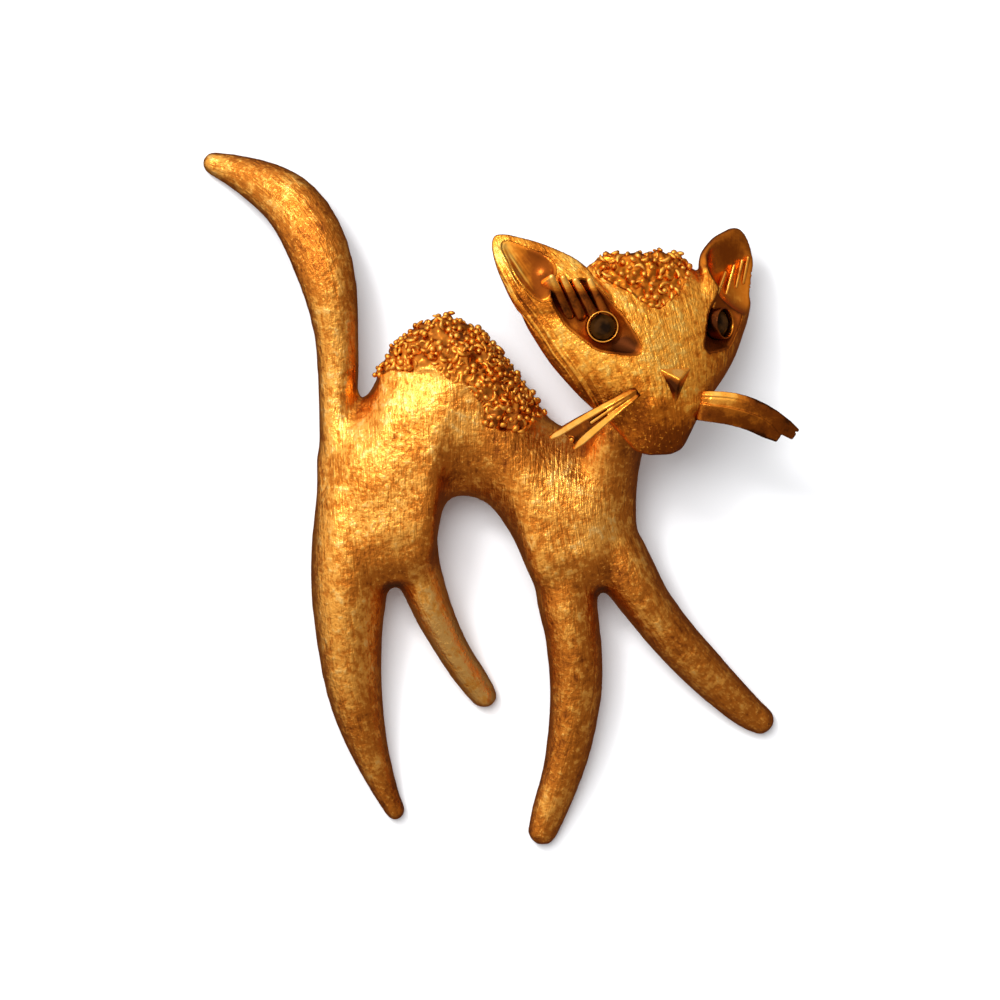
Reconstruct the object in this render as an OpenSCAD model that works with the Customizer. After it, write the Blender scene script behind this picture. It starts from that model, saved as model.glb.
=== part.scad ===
// Arched-back cat brooch, lying face up: +X to the viewer's right, +Y up the figure, +Z out of its face.
// The origin is on the table, under the middle of the figure. All lengths are in millimetres.

/* [Stand] */
// Height of the casting's flat back above the table, set by the pin bar
stand_h = 3.5; // [2.8:0.1:4.5]

/* [Torso] */
// Length of the torso, haunch to chest
torso_len = 26.5; // [24:0.5:29]
// Height of the band that holds the hump and the belly line
torso_h = 15; // [13:0.5:17]
// How far the torso's dome stands out in front of its widest line
torso_relief = 4.6; // [3.5:0.1:5.5]
// Thickness of the casting behind its widest line
back_t = 1.2; // [0.9:0.1:1.6]

/* [Tail] */
// Reach of the tail above the rump
tail_len = 23; // [19:0.5:27]
// Widest part of the tail
tail_w = 5; // [4:0.1:6]
// How far the tail's dome stands out
tail_relief = 1.9; // [1.4:0.1:2.6]

/* [Legs] */
// Length of the near hind leg, rump to paw
hind_len = 32; // [28:0.5:36]
// Width of its thigh
hind_w = 6.6; // [5.6:0.1:7.6]
// Length of the far hind leg
far_hind_len = 14; // [12:0.5:16]
// Width of its root
far_hind_w = 5; // [4.2:0.1:5.8]
// Length of the near foreleg
fore_len = 29; // [25:0.5:33]
// Width of the near foreleg at the elbow
fore_w = 5.4; // [4.6:0.1:6.2]
// Length of the far foreleg
far_fore_len = 22; // [19:0.5:25]
// Width of its root
far_fore_w = 5; // [4.2:0.1:5.8]
// How far a thigh's dome stands out
leg_relief = 3.7; // [3:0.1:4.4]

/* [Neck] */
// Length of the neck, shoulder to nape
neck_len = 11.5; // [10:0.5:13]
// Width of the neck
neck_w = 6.4; // [5.4:0.1:7.4]

/* [Head] */
// Width across the ears, in the head's own frame
head_w = 24.3; // [22:0.1:26]
// Height from chin to crown
head_h = 16.2; // [14.5:0.1:18]
// Depth of the head in the round, nape to nose
head_d = 10.7; // [9.5:0.1:12]
// Turn of the face towards the viewer's right, in degrees
head_turn = 29; // [24:1:34]
// Tilt of the head in its own plane, in degrees
head_tilt = 2; // [0:0.5:4]
// Share of its depth that the head keeps, as a relief
head_flatten = 0.62; // [0.5:0.01:0.7]
// Height of the nape above the casting's back
head_rise = 4.3; // [3.9:0.1:4.7]
// Radius at the corners of the muzzle
muzzle_r = 1.3; // [1.1:0.1:1.5]
// Height of the crown's ears above the crown
ear_h = 2.5; // [2:0.1:3.2]
// Radius of the hollow in the front of an ear
ear_hollow = 1.8; // [1.5:0.1:2]
// Gap between the head and the cradle in the neck
seat_gap = 0.06; // [0.04:0.01:0.1]
// Diameter of the rivet that holds the head
rivet_d = 2; // [1.6:0.1:2.4]

/* [Eyes] */
// Diameter of each stone
stone_d = 2.1; // [1.8:0.1:2.3]
// Wall of the cup round a stone
cup_wall = 0.22; // [0.15:0.01:0.3]
// Depth of a cup
cup_depth = 1.3; // [1.1:0.1:1.6]
// Gap between stone and cup, and between cup and seat
set_gap = 0.05; // [0.03:0.01:0.08]
// Angle of each cup away from the face's own direction, in degrees
cup_splay = 27; // [22:1:30]

/* [Whiskers] */
// Reach of each whisker fan
whisker_len = 8; // [6.5:0.1:9.5]
// Width of a fan between its outer ribs at their widest
whisker_w = 2.0; // [1.6:0.1:2.4]
// Thickness of a fan between its ribs
whisker_t = 0.9; // [0.7:0.05:1.1]

/* [Granules] */
// Diameter of a granule of the nugget texture
grain_d = 0.8; // [0.6:0.05:1]

/* [Pin] */
// Distance from the joint to the catch
pin_span = 17; // [14:0.5:19]
// Diameter of the pin stem
pin_d = 0.8; // [0.7:0.05:1]
// Length of the stem's free end past the catch
pin_free = 2.4; // [2:0.1:3]
// Width of the flat bar
bar_w = 2.4; // [2:0.1:3]
// Thickness of the flat bar
bar_t = 0.7; // [0.5:0.05:0.9]

/* [Hidden] */

gold = [0.83, 0.56, 0.22];
dark_gold = [0.72, 0.45, 0.16];
smoke = [0.16, 0.12, 0.10];

// Smooth interpolation through the rows of a table, s counted in rows from 0
function clamp_row(rows, i) = rows[max(0, min(len(rows) - 1, i))];
function spline(rows, s) =
    let (i = min(floor(s), len(rows) - 2), t = s - i,
         a = clamp_row(rows, i - 1), b = rows[i], c = rows[i + 1], d = clamp_row(rows, i + 2))
    0.5 * (2 * b + (c - a) * t + (2 * a - 5 * b + 4 * c - d) * t * t + (3 * b - a - 3 * c + d) * t * t * t);
function spline_slope(rows, s) =
    let (e = 0.02) spline(rows, min(len(rows) - 1, s + e)) - spline(rows, max(0, s - e));
function unit(v) = v / norm(v);
function signed_pow(x, p) = sign(x) * pow(abs(x), p);

// A closed skin over rings of equal length, the first and last ring capped
module skin(rings) {
    n = len(rings[0]);
    m = len(rings);
    polyhedron(
        points = [for (r = rings) each r],
        faces = concat(
            [[for (i = [0 : n - 1]) i]],
            [for (j = [0 : m - 2], i = [0 : n - 1])
                let (k = (i + 1) % n) each [[j * n + i, (j + 1) * n + i, j * n + k],
                                            [j * n + k, (j + 1) * n + i, (j + 1) * n + k]]],
            [[for (i = [n - 1 : -1 : 0]) (m - 1) * n + i]]));
}

// Columns of a limb's row once it is in millimetres
LX = 0; LY = 1; LZ = 2; LW = 3; LF = 4; LB = 5;
limb_sides = 16;

// One cross-section of a limb: a domed front of height f, a flattened back of depth b, half-width w
function limb_ring(c, side, w, f, b) =
    [for (i = [0 : limb_sides - 1])
        let (a = 360 * i / limb_sides, ca = cos(a), sa = sin(a))
        sa >= 0 ? c + side * w * ca + [0, 0, f * sa]
                : c + side * w * signed_pow(ca, 0.7) + [0, 0, b * signed_pow(sa, 0.7)]];

// A tapering limb through the rows, its far end rounded off
module limb(rows, steps) {
    last = len(rows) - 1;
    tip = rows[last];
    d_end = unit([spline_slope(rows, last).x, spline_slope(rows, last).y, 0]);
    skin(concat(
        [for (j = [0 : steps])
            let (s = last * j / steps, r = spline(rows, s), v = spline_slope(rows, s),
                 d = unit([v.x, v.y, 0]))
            limb_ring([r[LX], r[LY], r[LZ]], [-d.y, d.x, 0], r[LW], r[LF], r[LB])],
        [for (a = [30, 55, 78])
            limb_ring([tip[LX], tip[LY], tip[LZ]] + d_end * tip[LW] * sin(a), [-d_end.y, d_end.x, 0],
                      tip[LW] * cos(a), tip[LF] * cos(a), tip[LB] * cos(a))]));
}

// Rows given as shares of a limb's own sizes, turned into millimetres. The fifth column is how far
// the limb has come down from the casting's level, 0, to the table, 1.
function limb_rows(table, root, length, width, relief) =
    [for (r = table)
        let (b = back_t * min(1, 0.55 + 0.45 * r[2]))
        [root.x + r[0] * length, root.y + r[1] * length, b + stand_h * (1 - r[4]),
         r[2] * width / 2, r[3] * relief, b]];

// Torso: sections across the figure, from haunch to chest
torso_at = [-1.95, 3.25];
// columns: place along the torso, back line, belly line, relief, roundness of the belly side, where
// 1 is an ellipse and less is fuller, so that haunch and chest stay high down to the legs
torso_table = [
    [-0.50, 0.05, -0.60, 0.30, 0.80],
    [-0.46, 0.22, -0.68, 0.52, 0.68],
    [-0.41, 0.29, -0.72, 0.72, 0.64],
    [-0.36, 0.34, -0.72, 0.84, 0.64],
    [-0.325, 0.42, -0.72, 0.89, 0.64],
    [-0.295, 0.53, -0.72, 0.93, 0.64],
    [-0.26, 0.62, -0.71, 0.96, 0.64],
    [-0.22, 0.705, -0.71, 0.98, 0.64],
    [-0.18, 0.76, -0.70, 1.00, 0.66],
    [-0.145, 0.79, -0.66, 1.00, 0.70],
    [-0.123, 0.80, -0.42, 1.00, 0.80],
    [-0.105, 0.80, -0.265, 1.00, 0.90],
    [-0.075, 0.79, -0.215, 0.99, 1.00],
    [-0.036, 0.765, -0.205, 0.97, 1.00],
    [0.014, 0.70, -0.225, 0.94, 1.00],
    [0.058, 0.625, -0.285, 0.92, 1.00],
    [0.10, 0.54, -0.39, 0.90, 0.95],
    [0.133, 0.45, -0.50, 0.88, 0.82],
    [0.165, 0.36, -0.64, 0.88, 0.72],
    [0.20, 0.285, -0.75, 0.88, 0.68],
    [0.25, 0.21, -0.78, 0.88, 0.66],
    [0.31, 0.165, -0.76, 0.86, 0.66],
    [0.37, 0.135, -0.735, 0.82, 0.66],
    [0.43, 0.06, -0.70, 0.68, 0.70],
    [0.48, -0.07, -0.58, 0.42, 0.80],
    [0.50, -0.16, -0.45, 0.25, 0.90]];
function torso_rows() =
    [for (r = torso_table)
        [torso_at.x + r[0] * torso_len, torso_at.y + (r[1] + r[2]) / 2 * torso_h, stand_h + back_t,
         (r[1] - r[2]) / 2 * torso_h, r[3] * torso_relief, back_t, r[4]]];
// A torso section: as a limb's, but fuller on the belly side of its dome
function torso_ring(r) =
    [for (p = limb_ring([0, 0, 0], [0, 1, 0], r[LW], r[LF], r[LB]))
        p.y < 0 && p.z > 0
            ? [r[LX], r[LY] - r[LW] * pow(-p.y / r[LW], r[6]), r[LZ] + r[LF] * pow(p.z / r[LF], r[6])]
            : [r[LX], r[LY], r[LZ]] + p];
module torso() {
    rows = torso_rows();
    steps = 30;
    skin([for (j = [0 : steps]) torso_ring(spline(rows, (len(rows) - 1) * j / steps))]);
}

// A place on the torso, in shares of its length and height
function on_torso(u, v) = torso_at + [u * torso_len, v * torso_h];

// Tail, from the rump to its tip: across, up, half-width, relief, drop
tail_table = [
    [0.004, -0.118, 0.73, 1.30, 0.00],
    [-0.003, 0.00, 0.67, 1.20, 0.00],
    [-0.007, 0.107, 0.65, 1.05, 0.00],
    [-0.007, 0.233, 0.69, 0.98, -0.06],
    [-0.013, 0.342, 0.73, 0.95, -0.12],
    [-0.029, 0.469, 0.86, 0.95, -0.16],
    [-0.055, 0.580, 0.98, 0.98, -0.10],
    [-0.096, 0.692, 1.03, 1.00, 0.06],
    [-0.148, 0.782, 1.00, 0.98, 0.24],
    [-0.210, 0.849, 0.92, 0.94, 0.44],
    [-0.292, 0.900, 0.77, 0.85, 0.66],
    [-0.376, 0.940, 0.58, 0.70, 0.86],
    [-0.460, 0.970, 0.40, 0.50, 1.00]];
function tail_rows() = limb_rows(tail_table, on_torso(-0.43, 0.17), tail_len, tail_w, tail_relief);

// Near hind leg, from the rump to the paw
hind_table = [
    [0.00, 0.00, 0.66, 0.60, 0.00],
    [0.01, -0.104, 0.83, 0.85, 0.00],
    [0.013, -0.208, 0.96, 0.98, 0.00],
    [0.01, -0.312, 1.00, 1.00, 0.02],
    [0.007, -0.403, 0.96, 0.96, 0.07],
    [0.006, -0.481, 0.87, 0.90, 0.14],
    [0.01, -0.559, 0.795, 0.83, 0.23],
    [0.018, -0.638, 0.72, 0.75, 0.34],
    [0.033, -0.716, 0.63, 0.66, 0.48],
    [0.054, -0.794, 0.51, 0.56, 0.64],
    [0.080, -0.866, 0.40, 0.46, 0.80],
    [0.106, -0.929, 0.30, 0.37, 0.93],
    [0.126, -0.968, 0.25, 0.31, 1.00]];
function hind_rows() = limb_rows(hind_table, on_torso(-0.41, 0.11), hind_len, hind_w, leg_relief);

// Far hind leg
far_hind_table = [
    [0.064, 0.087, 0.87, 0.85, 0.00],
    [0.088, -0.092, 0.80, 0.82, 0.01],
    [0.123, -0.210, 0.75, 0.76, 0.06],
    [0.168, -0.330, 0.68, 0.70, 0.14],
    [0.218, -0.449, 0.63, 0.64, 0.26],
    [0.278, -0.568, 0.56, 0.58, 0.42],
    [0.346, -0.687, 0.53, 0.52, 0.60],
    [0.428, -0.806, 0.51, 0.46, 0.82],
    [0.495, -0.900, 0.43, 0.38, 1.00]];
function far_hind_rows() =
    limb_rows(far_hind_table, on_torso(-0.24, -0.47), far_hind_len, far_hind_w, leg_relief);

// Near foreleg
fore_table = [
    [0.00, -0.03, 1.30, 0.85, 0.00],
    [-0.017, -0.174, 1.06, 0.92, 0.01],
    [-0.013, -0.289, 0.94, 0.92, 0.06],
    [0.001, -0.375, 0.865, 0.88, 0.13],
    [0.01, -0.461, 0.843, 0.82, 0.22],
    [0.012, -0.547, 0.81, 0.75, 0.33],
    [0.004, -0.633, 0.75, 0.67, 0.45],
    [-0.010, -0.720, 0.69, 0.59, 0.59],
    [-0.032, -0.806, 0.61, 0.51, 0.74],
    [-0.060, -0.886, 0.56, 0.44, 0.89],
    [-0.083, -0.955, 0.47, 0.36, 1.00]];
function fore_rows() = limb_rows(fore_table, on_torso(0.30, -0.22), fore_len, fore_w, leg_relief);

// Far foreleg
far_fore_table = [
    [0.00, 0.00, 1.07, 0.80, 0.00],
    [0.078, -0.132, 1.00, 0.82, 0.01],
    [0.158, -0.258, 0.84, 0.77, 0.08],
    [0.214, -0.334, 0.80, 0.71, 0.18],
    [0.275, -0.409, 0.77, 0.66, 0.30],
    [0.344, -0.484, 0.75, 0.61, 0.44],
    [0.418, -0.560, 0.70, 0.56, 0.60],
    [0.497, -0.636, 0.63, 0.49, 0.78],
    [0.556, -0.688, 0.56, 0.43, 0.92],
    [0.600, -0.718, 0.48, 0.37, 1.00]];
function far_fore_rows() =
    limb_rows(far_fore_table, on_torso(0.396, -0.397), far_fore_len, far_fore_w, leg_relief);

// Neck, from the shoulder up behind the head
neck_table = [
    [-0.06, -0.20, 0.90, 0.86, 0],
    [0.00, 0.00, 0.98, 0.94, 0],
    [0.07, 0.25, 0.84, 1.16, 0],
    [0.145, 0.45, 0.77, 1.45, 0],
    [0.235, 0.65, 0.76, 1.42, 0],
    [0.33, 0.83, 0.71, 1.15, 0]];
function neck_rows() = limb_rows(neck_table, on_torso(0.385, -0.18), neck_len, neck_w, leg_relief);

// Head frame: x across the face, y up from the chin, z forward from the nape.
// The frame is turned, flattened as a relief is, tilted and set down over the neck.
head_at = [on_torso(0.45, 0).x + 0.1, on_torso(0, 0.02).y, stand_h + head_rise];
function head_share(u, v, w) = [u * head_w / 2, v * head_h, w * head_d];
turn_matrix = [[cos(head_turn), 0, sin(head_turn), 0],
               [0, 1, 0, 0],
               [-head_flatten * sin(head_turn), 0, head_flatten * cos(head_turn), 0],
               [0, 0, 0, 1]];
tilt_matrix = [[cos(head_tilt), -sin(head_tilt), 0, head_at.x],
               [sin(head_tilt), cos(head_tilt), 0, head_at.y],
               [0, 0, 1, head_at.z],
               [0, 0, 0, 1]];
head_matrix = tilt_matrix * turn_matrix;
function in_world(p) =
    let (q = head_matrix * [p.x, p.y, p.z, 1]) [q.x, q.y, q.z];

// Skull: height, half-width, depth of the widest line, of the midline and of the back
skull_table = [
    [0.00, 0.09, 0.60, 0.66, 0.57],
    [0.03, 0.18, 0.60, 0.73, 0.45],
    [0.10, 0.245, 0.59, 0.81, 0.30],
    [0.185, 0.33, 0.54, 0.88, 0.18],
    [0.29, 0.47, 0.46, 0.93, 0.08],
    [0.39, 0.60, 0.44, 0.94, 0.04],
    [0.49, 0.71, 0.41, 0.92, 0.01],
    [0.60, 0.80, 0.37, 0.885, 0.00],
    [0.70, 0.87, 0.34, 0.83, 0.00],
    [0.80, 0.90, 0.31, 0.745, 0.02],
    [0.86, 0.78, 0.31, 0.68, 0.05],
    [0.91, 0.57, 0.32, 0.62, 0.10],
    [0.96, 0.41, 0.36, 0.60, 0.16],
    [1.00, 0.35, 0.38, 0.55, 0.23],
    [1.035, 0.22, 0.41, 0.50, 0.30]];
skull_sides = 24;
// Depth of the face at a share s of its half-width, between its widest line and its midline
function face_bulge(s) = 0.8 * (1 - pow(min(1, abs(s)), 2.8)) + 0.2 * sqrt(max(0, 1 - s * s));
function skull_ring(r, grow) =
    [for (i = [0 : skull_sides - 1])
        let (a = -360 * i / skull_sides, s = cos(a), half = r[1] * head_w / 2 + grow)
        [half * s, r[0] * (head_h + 2 * grow) - grow,
         sin(a) >= 0 ? (r[2] + (r[3] - r[2]) * face_bulge(s)) * head_d + grow * sin(a)
                     : (r[2] + (r[4] - r[2]) * -sin(a)) * head_d + grow * sin(a)]];
module skull(grow = 0) {
    steps = 21;
    skin([for (j = [0 : steps]) skull_ring(spline(skull_table, (len(skull_table) - 1) * j / steps), grow)]);
}
// The row of a table at a key in its first column, interpolated
function row_at(table, key) = [for (j = [0 : len(table) - 2])
    if (key >= table[j][0] && key <= table[j + 1][0])
        let (t = (key - table[j][0]) / (table[j + 1][0] - table[j][0]))
        table[j] * (1 - t) + table[j + 1] * t][0];
// A point on the face, at shares u and v of its width and height, lifted off it by a share
function on_face(u, v, lift = 0) =
    let (r = row_at(skull_table, v))
    head_share(u, v, r[2] + (r[3] - r[2]) * face_bulge(u / r[1]) + lift);

// Ear: height above the crown as a share of ear_h, inner and outer edge, their depths, back, front
ear_table = [
    [-1.60, 0.34, 0.885, 0.70, 0.31, 0.22, 0.14],
    [-1.10, 0.37, 0.935, 0.66, 0.29, 0.25, 0.14],
    [-0.61, 0.42, 0.970, 0.59, 0.265, 0.25, 0.12],
    [-0.20, 0.45, 0.995, 0.52, 0.235, 0.23, 0.08],
    [0.15, 0.505, 1.005, 0.43, 0.20, 0.19, 0.05],
    [0.45, 0.595, 1.005, 0.34, 0.17, 0.16, 0.04],
    [0.72, 0.70, 0.995, 0.25, 0.14, 0.12, 0.03],
    [0.91, 0.82, 0.97, 0.18, 0.12, 0.09, 0.03],
    [1.00, 0.88, 0.945, 0.14, 0.12, 0.05, 0.02]];
ear_sides = 12;
// Both ears sit a little to the viewer's left, as a share of the head's half-width
ear_lean = 0.02;
function ear_ring(r) =
    [for (i = [0 : ear_sides - 1])
        let (a = -360 * i / ear_sides, s = cos(a),
             half = (r[2] - r[1]) / 2, rim = (r[3] + r[4]) / 2 + (r[4] - r[3]) / 2 * s)
        head_share((r[1] + r[2]) / 2 + half * s, 1, rim + (sin(a) >= 0 ? r[6] : r[5]) * sin(a))
            + [0, r[0] * ear_h, 0]];
module ear() {
    steps = 10;
    skin([for (j = [0 : steps]) ear_ring(spline(ear_table, (len(ear_table) - 1) * j / steps))]);
}
// What is scooped out of the front of an ear
module ear_scoop() {
    hull() {
        translate(head_share(0.925, 1, 0.24) + [0, 0.64 * ear_h, 0]) sphere(ear_hollow * 0.28, $fn = 10);
        translate(head_share(0.83, 1, 0.45) + [0, -0.05 * ear_h, 0]) sphere(ear_hollow, $fn = 14);
        translate(head_share(0.83, 1, 0.55) + [0, -1.0 * ear_h, 0]) sphere(ear_hollow / 2, $fn = 10);
    }
}

// Eyes
eye_u = 0.473;
eye_v = 0.662;
cup_r = stone_d / 2 + set_gap + cup_wall;
socket_sink = 0.02;
// A rigid frame at an eye, z along the cup's axis: side is -1 for the viewer's left, 1 for the right
module at_eye(side) {
    translate(in_world(on_face(side * eye_u, eye_v, -socket_sink)))
        rotate([0, 0, head_tilt])
            rotate([0, head_turn + side * cup_splay, 0]) children();
}
module socket(side) {
    hull() {
        translate(on_face(side * 0.60, 0.85, 0.04)) sphere(1.35, $fn = 10);
        translate(on_face(side * 0.61, 0.71, 0.04)) sphere(1.35, $fn = 10);
        translate(on_face(side * eye_u, eye_v - 0.01, 0.05)) sphere(1.9, $fn = 14);
        translate(on_face(side * 0.28, 0.555, 0.02)) sphere(0.5, $fn = 8);
    }
}

// Brow: four ribs that fan up and out of the socket: foot across and up, tip across, up and out
lash_table = [
    [0.42, 0.735, 0.535, 0.920, 0.70],
    [0.49, 0.755, 0.635, 0.935, 0.68],
    [0.56, 0.770, 0.720, 0.948, 0.65],
    [0.63, 0.780, 0.800, 0.962, 0.60]];
module lashes(side) {
    for (r = lash_table) hull() {
        translate(on_face(side * r[0], r[1], -0.12)) sphere(0.3, $fn = 6);
        translate(head_share(side * r[2], r[3], r[4])) sphere(0.4, $fn = 6);
        translate(head_share(side * (r[2] - 0.01), r[3] - 0.02, r[4] - 0.12)) sphere(0.45, $fn = 6);
    }
}

module nose() {
    hull() {
        for (side = [-1, 1]) translate(on_face(side * 0.065 - 0.02, 0.40, 0.03)) sphere(0.45, $fn = 10);
        translate(on_face(-0.02, 0.38, 0.06)) sphere(0.45, $fn = 10);
        translate(on_face(-0.02, 0.28, 0.00)) sphere(0.38, $fn = 10);
    }
}
module muzzle(grow = 0) {
    hull() {
        for (side = [-1, 1]) translate(head_share(side * 0.13, 0.27, 0.80)) sphere(muzzle_r + grow, $fn = 10);
        translate(head_share(0, 0.14, 0.79)) sphere(muzzle_r * 0.45 + grow, $fn = 8);
    }
}

// A granule: a short curl of metal between two points
module grain(a, b, size) {
    hull() {
        translate(a) sphere(size * grain_d / 2, $fn = 5);
        translate(b) sphere(size * grain_d * 0.42, $fn = 5);
    }
}

// Nugget texture over the hump: its lower edge, as the torso's shares along and up
hump_edge = [[-0.31, 0.43], [-0.24, 0.51], [-0.147, 0.51], [-0.068, 0.47], [-0.02, 0.40],
             [0.026, 0.30], [0.05, 0.20], [0.20, 0.14]];
hump_count = 39;
// A point on the torso's dome at shares u and v of its length and height
function torso_point(u, v, lift) =
    let (r = row_at(torso_table, u), mid = (r[1] + r[2]) / 2, half = (r[1] - r[2]) / 2,
         c = max(-1, min(1, (v - mid) / half)))
    [torso_at.x + u * torso_len, torso_at.y + v * torso_h,
     stand_h + back_t + r[3] * torso_relief * sqrt(1 - c * c) + lift];
module hump_grains() {
    toss = rands(0, 1, hump_count * 4, 17);
    for (i = [0 : hump_count - 1]) {
        u = -0.30 + 0.49 * ((i * 0.7549) % 1);
        low = row_at(hump_edge, u)[1];
        high = row_at(torso_table, u)[1];
        v = low + (high - low) * (0.02 + 0.98 * ((i * 0.5698 + 0.1 * toss[4 * i]) % 1));
        bend = [0.035 * (toss[4 * i + 1] - 0.5), 0.05 * (toss[4 * i + 2] - 0.5)];
        grain(torso_point(u, v, 0.1), torso_point(u + bend.x, min(high, v + bend.y), 0.15),
              0.75 + 0.35 * toss[4 * i + 3]);
    }
}
crown_count = 22;
module crown_grains() {
    toss = rands(0, 1, crown_count * 4, 23);
    for (i = [0 : crown_count - 1]) {
        v = 0.76 + 0.26 * ((i * 0.7549) % 1);
        reach = 0.38 - 1.5 * max(0, 0.92 - v);
        u = reach * (2 * ((i * 0.5698 + 0.1 * toss[4 * i]) % 1) - 1) + 0.02;
        bend = [0.05 * (toss[4 * i + 1] - 0.5), -0.03 * toss[4 * i + 2]];
        grain(on_face(u, v, 0.01), on_face(u + bend.x, v + bend.y, 0.03), 0.7 + 0.35 * toss[4 * i + 3]);
    }
}

// The rivet that is cast on the head and closed behind the neck
rivet_at = in_world(head_share(0.02, 0.30, 0.3));
rivet_head_d = rivet_d * 1.5;
rivet_head_t = 0.5;
module rivet(grow) {
    translate([rivet_at.x, rivet_at.y, stand_h - (grow > 0 ? 1 : 0)])
        cylinder(d = rivet_d + 2 * grow, h = rivet_at.z - stand_h + (grow > 0 ? 1 : 0), $fn = 24);
    translate([rivet_at.x, rivet_at.y, stand_h - (grow > 0 ? 1 : 0)])
        cylinder(d = rivet_head_d + 2 * grow, h = rivet_head_t + grow + (grow > 0 ? 1 : 0), $fn = 24);
}

module body() {
    color(gold) difference() {
        union() {
            torso();
            limb(tail_rows(), 20);
            limb(hind_rows(), 20);
            limb(far_hind_rows(), 10);
            limb(fore_rows(), 18);
            limb(far_fore_rows(), 14);
            limb(neck_rows(), 8);
            hump_grains();
        }
        multmatrix(head_matrix) {
            skull(seat_gap / head_flatten);
            muzzle(seat_gap / head_flatten);
        }
        rivet(set_gap);
    }
}

module head() {
    color(gold) difference() {
        union() {
            multmatrix(head_matrix) difference() {
                union() {
                    skull();
                    muzzle();
                    translate(head_share(-ear_lean, 0, 0))
                        for (side = [0, 1]) mirror([side, 0, 0]) ear();
                }
                translate(head_share(-ear_lean, 0, 0))
                    for (side = [0, 1]) mirror([side, 0, 0]) ear_scoop();
                for (side = [-1, 1]) socket(side);
            }
            multmatrix(head_matrix) {
                for (side = [-1, 1]) lashes(side);
                nose();
                crown_grains();
            }
            rivet(0);
        }
        for (side = [-1, 1]) at_eye(side)
            translate([0, 0, -cup_depth - set_gap])
                cylinder(r = cup_r + set_gap, h = cup_depth + 3, $fn = 32);
        fan_left(set_gap);
        fan_right(set_gap);
    }
}

module eye_cup(side) {
    color(dark_gold) at_eye(side) difference() {
        translate([0, 0, -cup_depth]) cylinder(r = cup_r, h = cup_depth + 0.25, $fn = 40);
        translate([0, 0, -cup_depth + 0.35]) cylinder(r = cup_r - cup_wall, h = cup_depth + 1, $fn = 40);
    }
}

// A stone with an octagonal table, a crown, a girdle and a pavilion
stone_facets = 8;
module eye_stone(side) {
    girdle_z = -0.35;
    color(smoke) at_eye(side) hull() {
        translate([0, 0, girdle_z]) rotate(22.5)
            cylinder(r = stone_d / 2, h = 0.12, $fn = stone_facets * 2);
        translate([0, 0, girdle_z + 0.42]) cylinder(r = stone_d * 0.29, h = 0.01, $fn = stone_facets);
        translate([0, 0, girdle_z - 0.5]) cylinder(r = stone_d * 0.12, h = 0.01, $fn = stone_facets);
    }
}

// Whisker fans, rows from the muzzle outwards: across, up, out, half-width between the outer ribs
whisker_left_table = [
    [0.06, 0.04, -0.10, 0.24],
    [0.00, 0.00, 0.00, 0.32],
    [-0.27, -0.18, 0.00, 0.58],
    [-0.53, -0.36, -0.12, 0.86],
    [-0.77, -0.54, -0.34, 1.12]];
whisker_right_table = [
    [-0.10, 0.01, -0.06, 0.86],
    [0.00, 0.00, 0.00, 0.95],
    [0.31, -0.04, 0.00, 1.06],
    [0.60, -0.15, -0.06, 0.98],
    [0.89, -0.315, -0.18, 0.56]];
whisker_left_at = in_world(on_face(-0.31, 0.31, 0.03));
whisker_right_at = in_world(on_face(0.25, 0.25, 0.04));
// The ribs run side by side, each to its own share of the rows, with a thin web between them
module whisker(table, at, reaches, grow) {
    rows = [for (r = table) concat([for (k = [0 : 2]) at[k] + r[k] * whisker_len], [r[3] * whisker_w / 2])];
    last = len(rows) - 1;
    ribs = len(reaches);
    steps = 4;
    // centre of rib k at s rows along
    function rib_at(s, k) =
        let (r = spline(rows, s), v = spline_slope(rows, s), d = unit([v.x, v.y, 0]))
        [r.x, r.y, r.z] + [-d.y, d.x, 0] * (2 * k / (ribs - 1) - 1) * r[3];
    for (k = [0 : ribs - 1], j = [0 : steps - 1]) hull()
        for (e = [0, 1]) translate(rib_at(last * reaches[k] * (j + e) / steps, k)) {
            sphere(whisker_t / 2 + grow, $fn = 6);
            translate([0, 0, -whisker_t / 2]) sphere(whisker_t * 0.4 + grow, $fn = 6);
        }
    for (j = [0 : steps - 2]) hull()
        for (e = [0, 1], k = [0, ribs - 1])
            translate(rib_at(last * 0.9 * (j + e) / steps, k) - [0, 0, whisker_t / 2])
                sphere(whisker_t * 0.3 + grow, $fn = 5);
}
module fan_left(grow = 0) { whisker(whisker_left_table, whisker_left_at, [1, 0.66, 0.86], grow); }
module fan_right(grow = 0) { whisker(whisker_right_table, whisker_right_at, [0.88, 0.95, 1], grow); }
module whisker_left() { color(gold) fan_left(); }
module whisker_right() { color(gold) fan_right(); }

// Pin bar: a flat bar on the back, a joint block, the stem, and a catch that holds it
pin_at = on_torso(0.09, 0.065);
joint_w = 2.2;
catch_w = 1.6;
stem_z = stand_h * 0.42;
module pin_bar() {
    color(dark_gold) translate([pin_at.x, pin_at.y, 0]) {
        translate([-pin_span / 2 - joint_w, -bar_w / 2, stand_h - set_gap - bar_t])
            cube([pin_span + joint_w + catch_w, bar_w, bar_t]);
        translate([-pin_span / 2 - joint_w, -bar_w / 2, 0])
            cube([joint_w, bar_w, stand_h - set_gap - bar_t / 2]);
        translate([pin_span / 2, -bar_w / 2, 0])
            cube([catch_w, bar_w, stand_h - set_gap - bar_t / 2]);
        translate([-pin_span / 2 - joint_w / 2, 0, stem_z]) rotate([0, 90, 0])
            cylinder(d = pin_d, h = pin_span + joint_w / 2 + catch_w + pin_free, $fn = 32);
    }
}

body();
head();
whisker_left();
whisker_right();
eye_cup(-1);  // eye_cup_left
eye_cup(1);  // eye_cup_right
eye_stone(-1);  // eye_stone_left
eye_stone(1);  // eye_stone_right
pin_bar();
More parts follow.
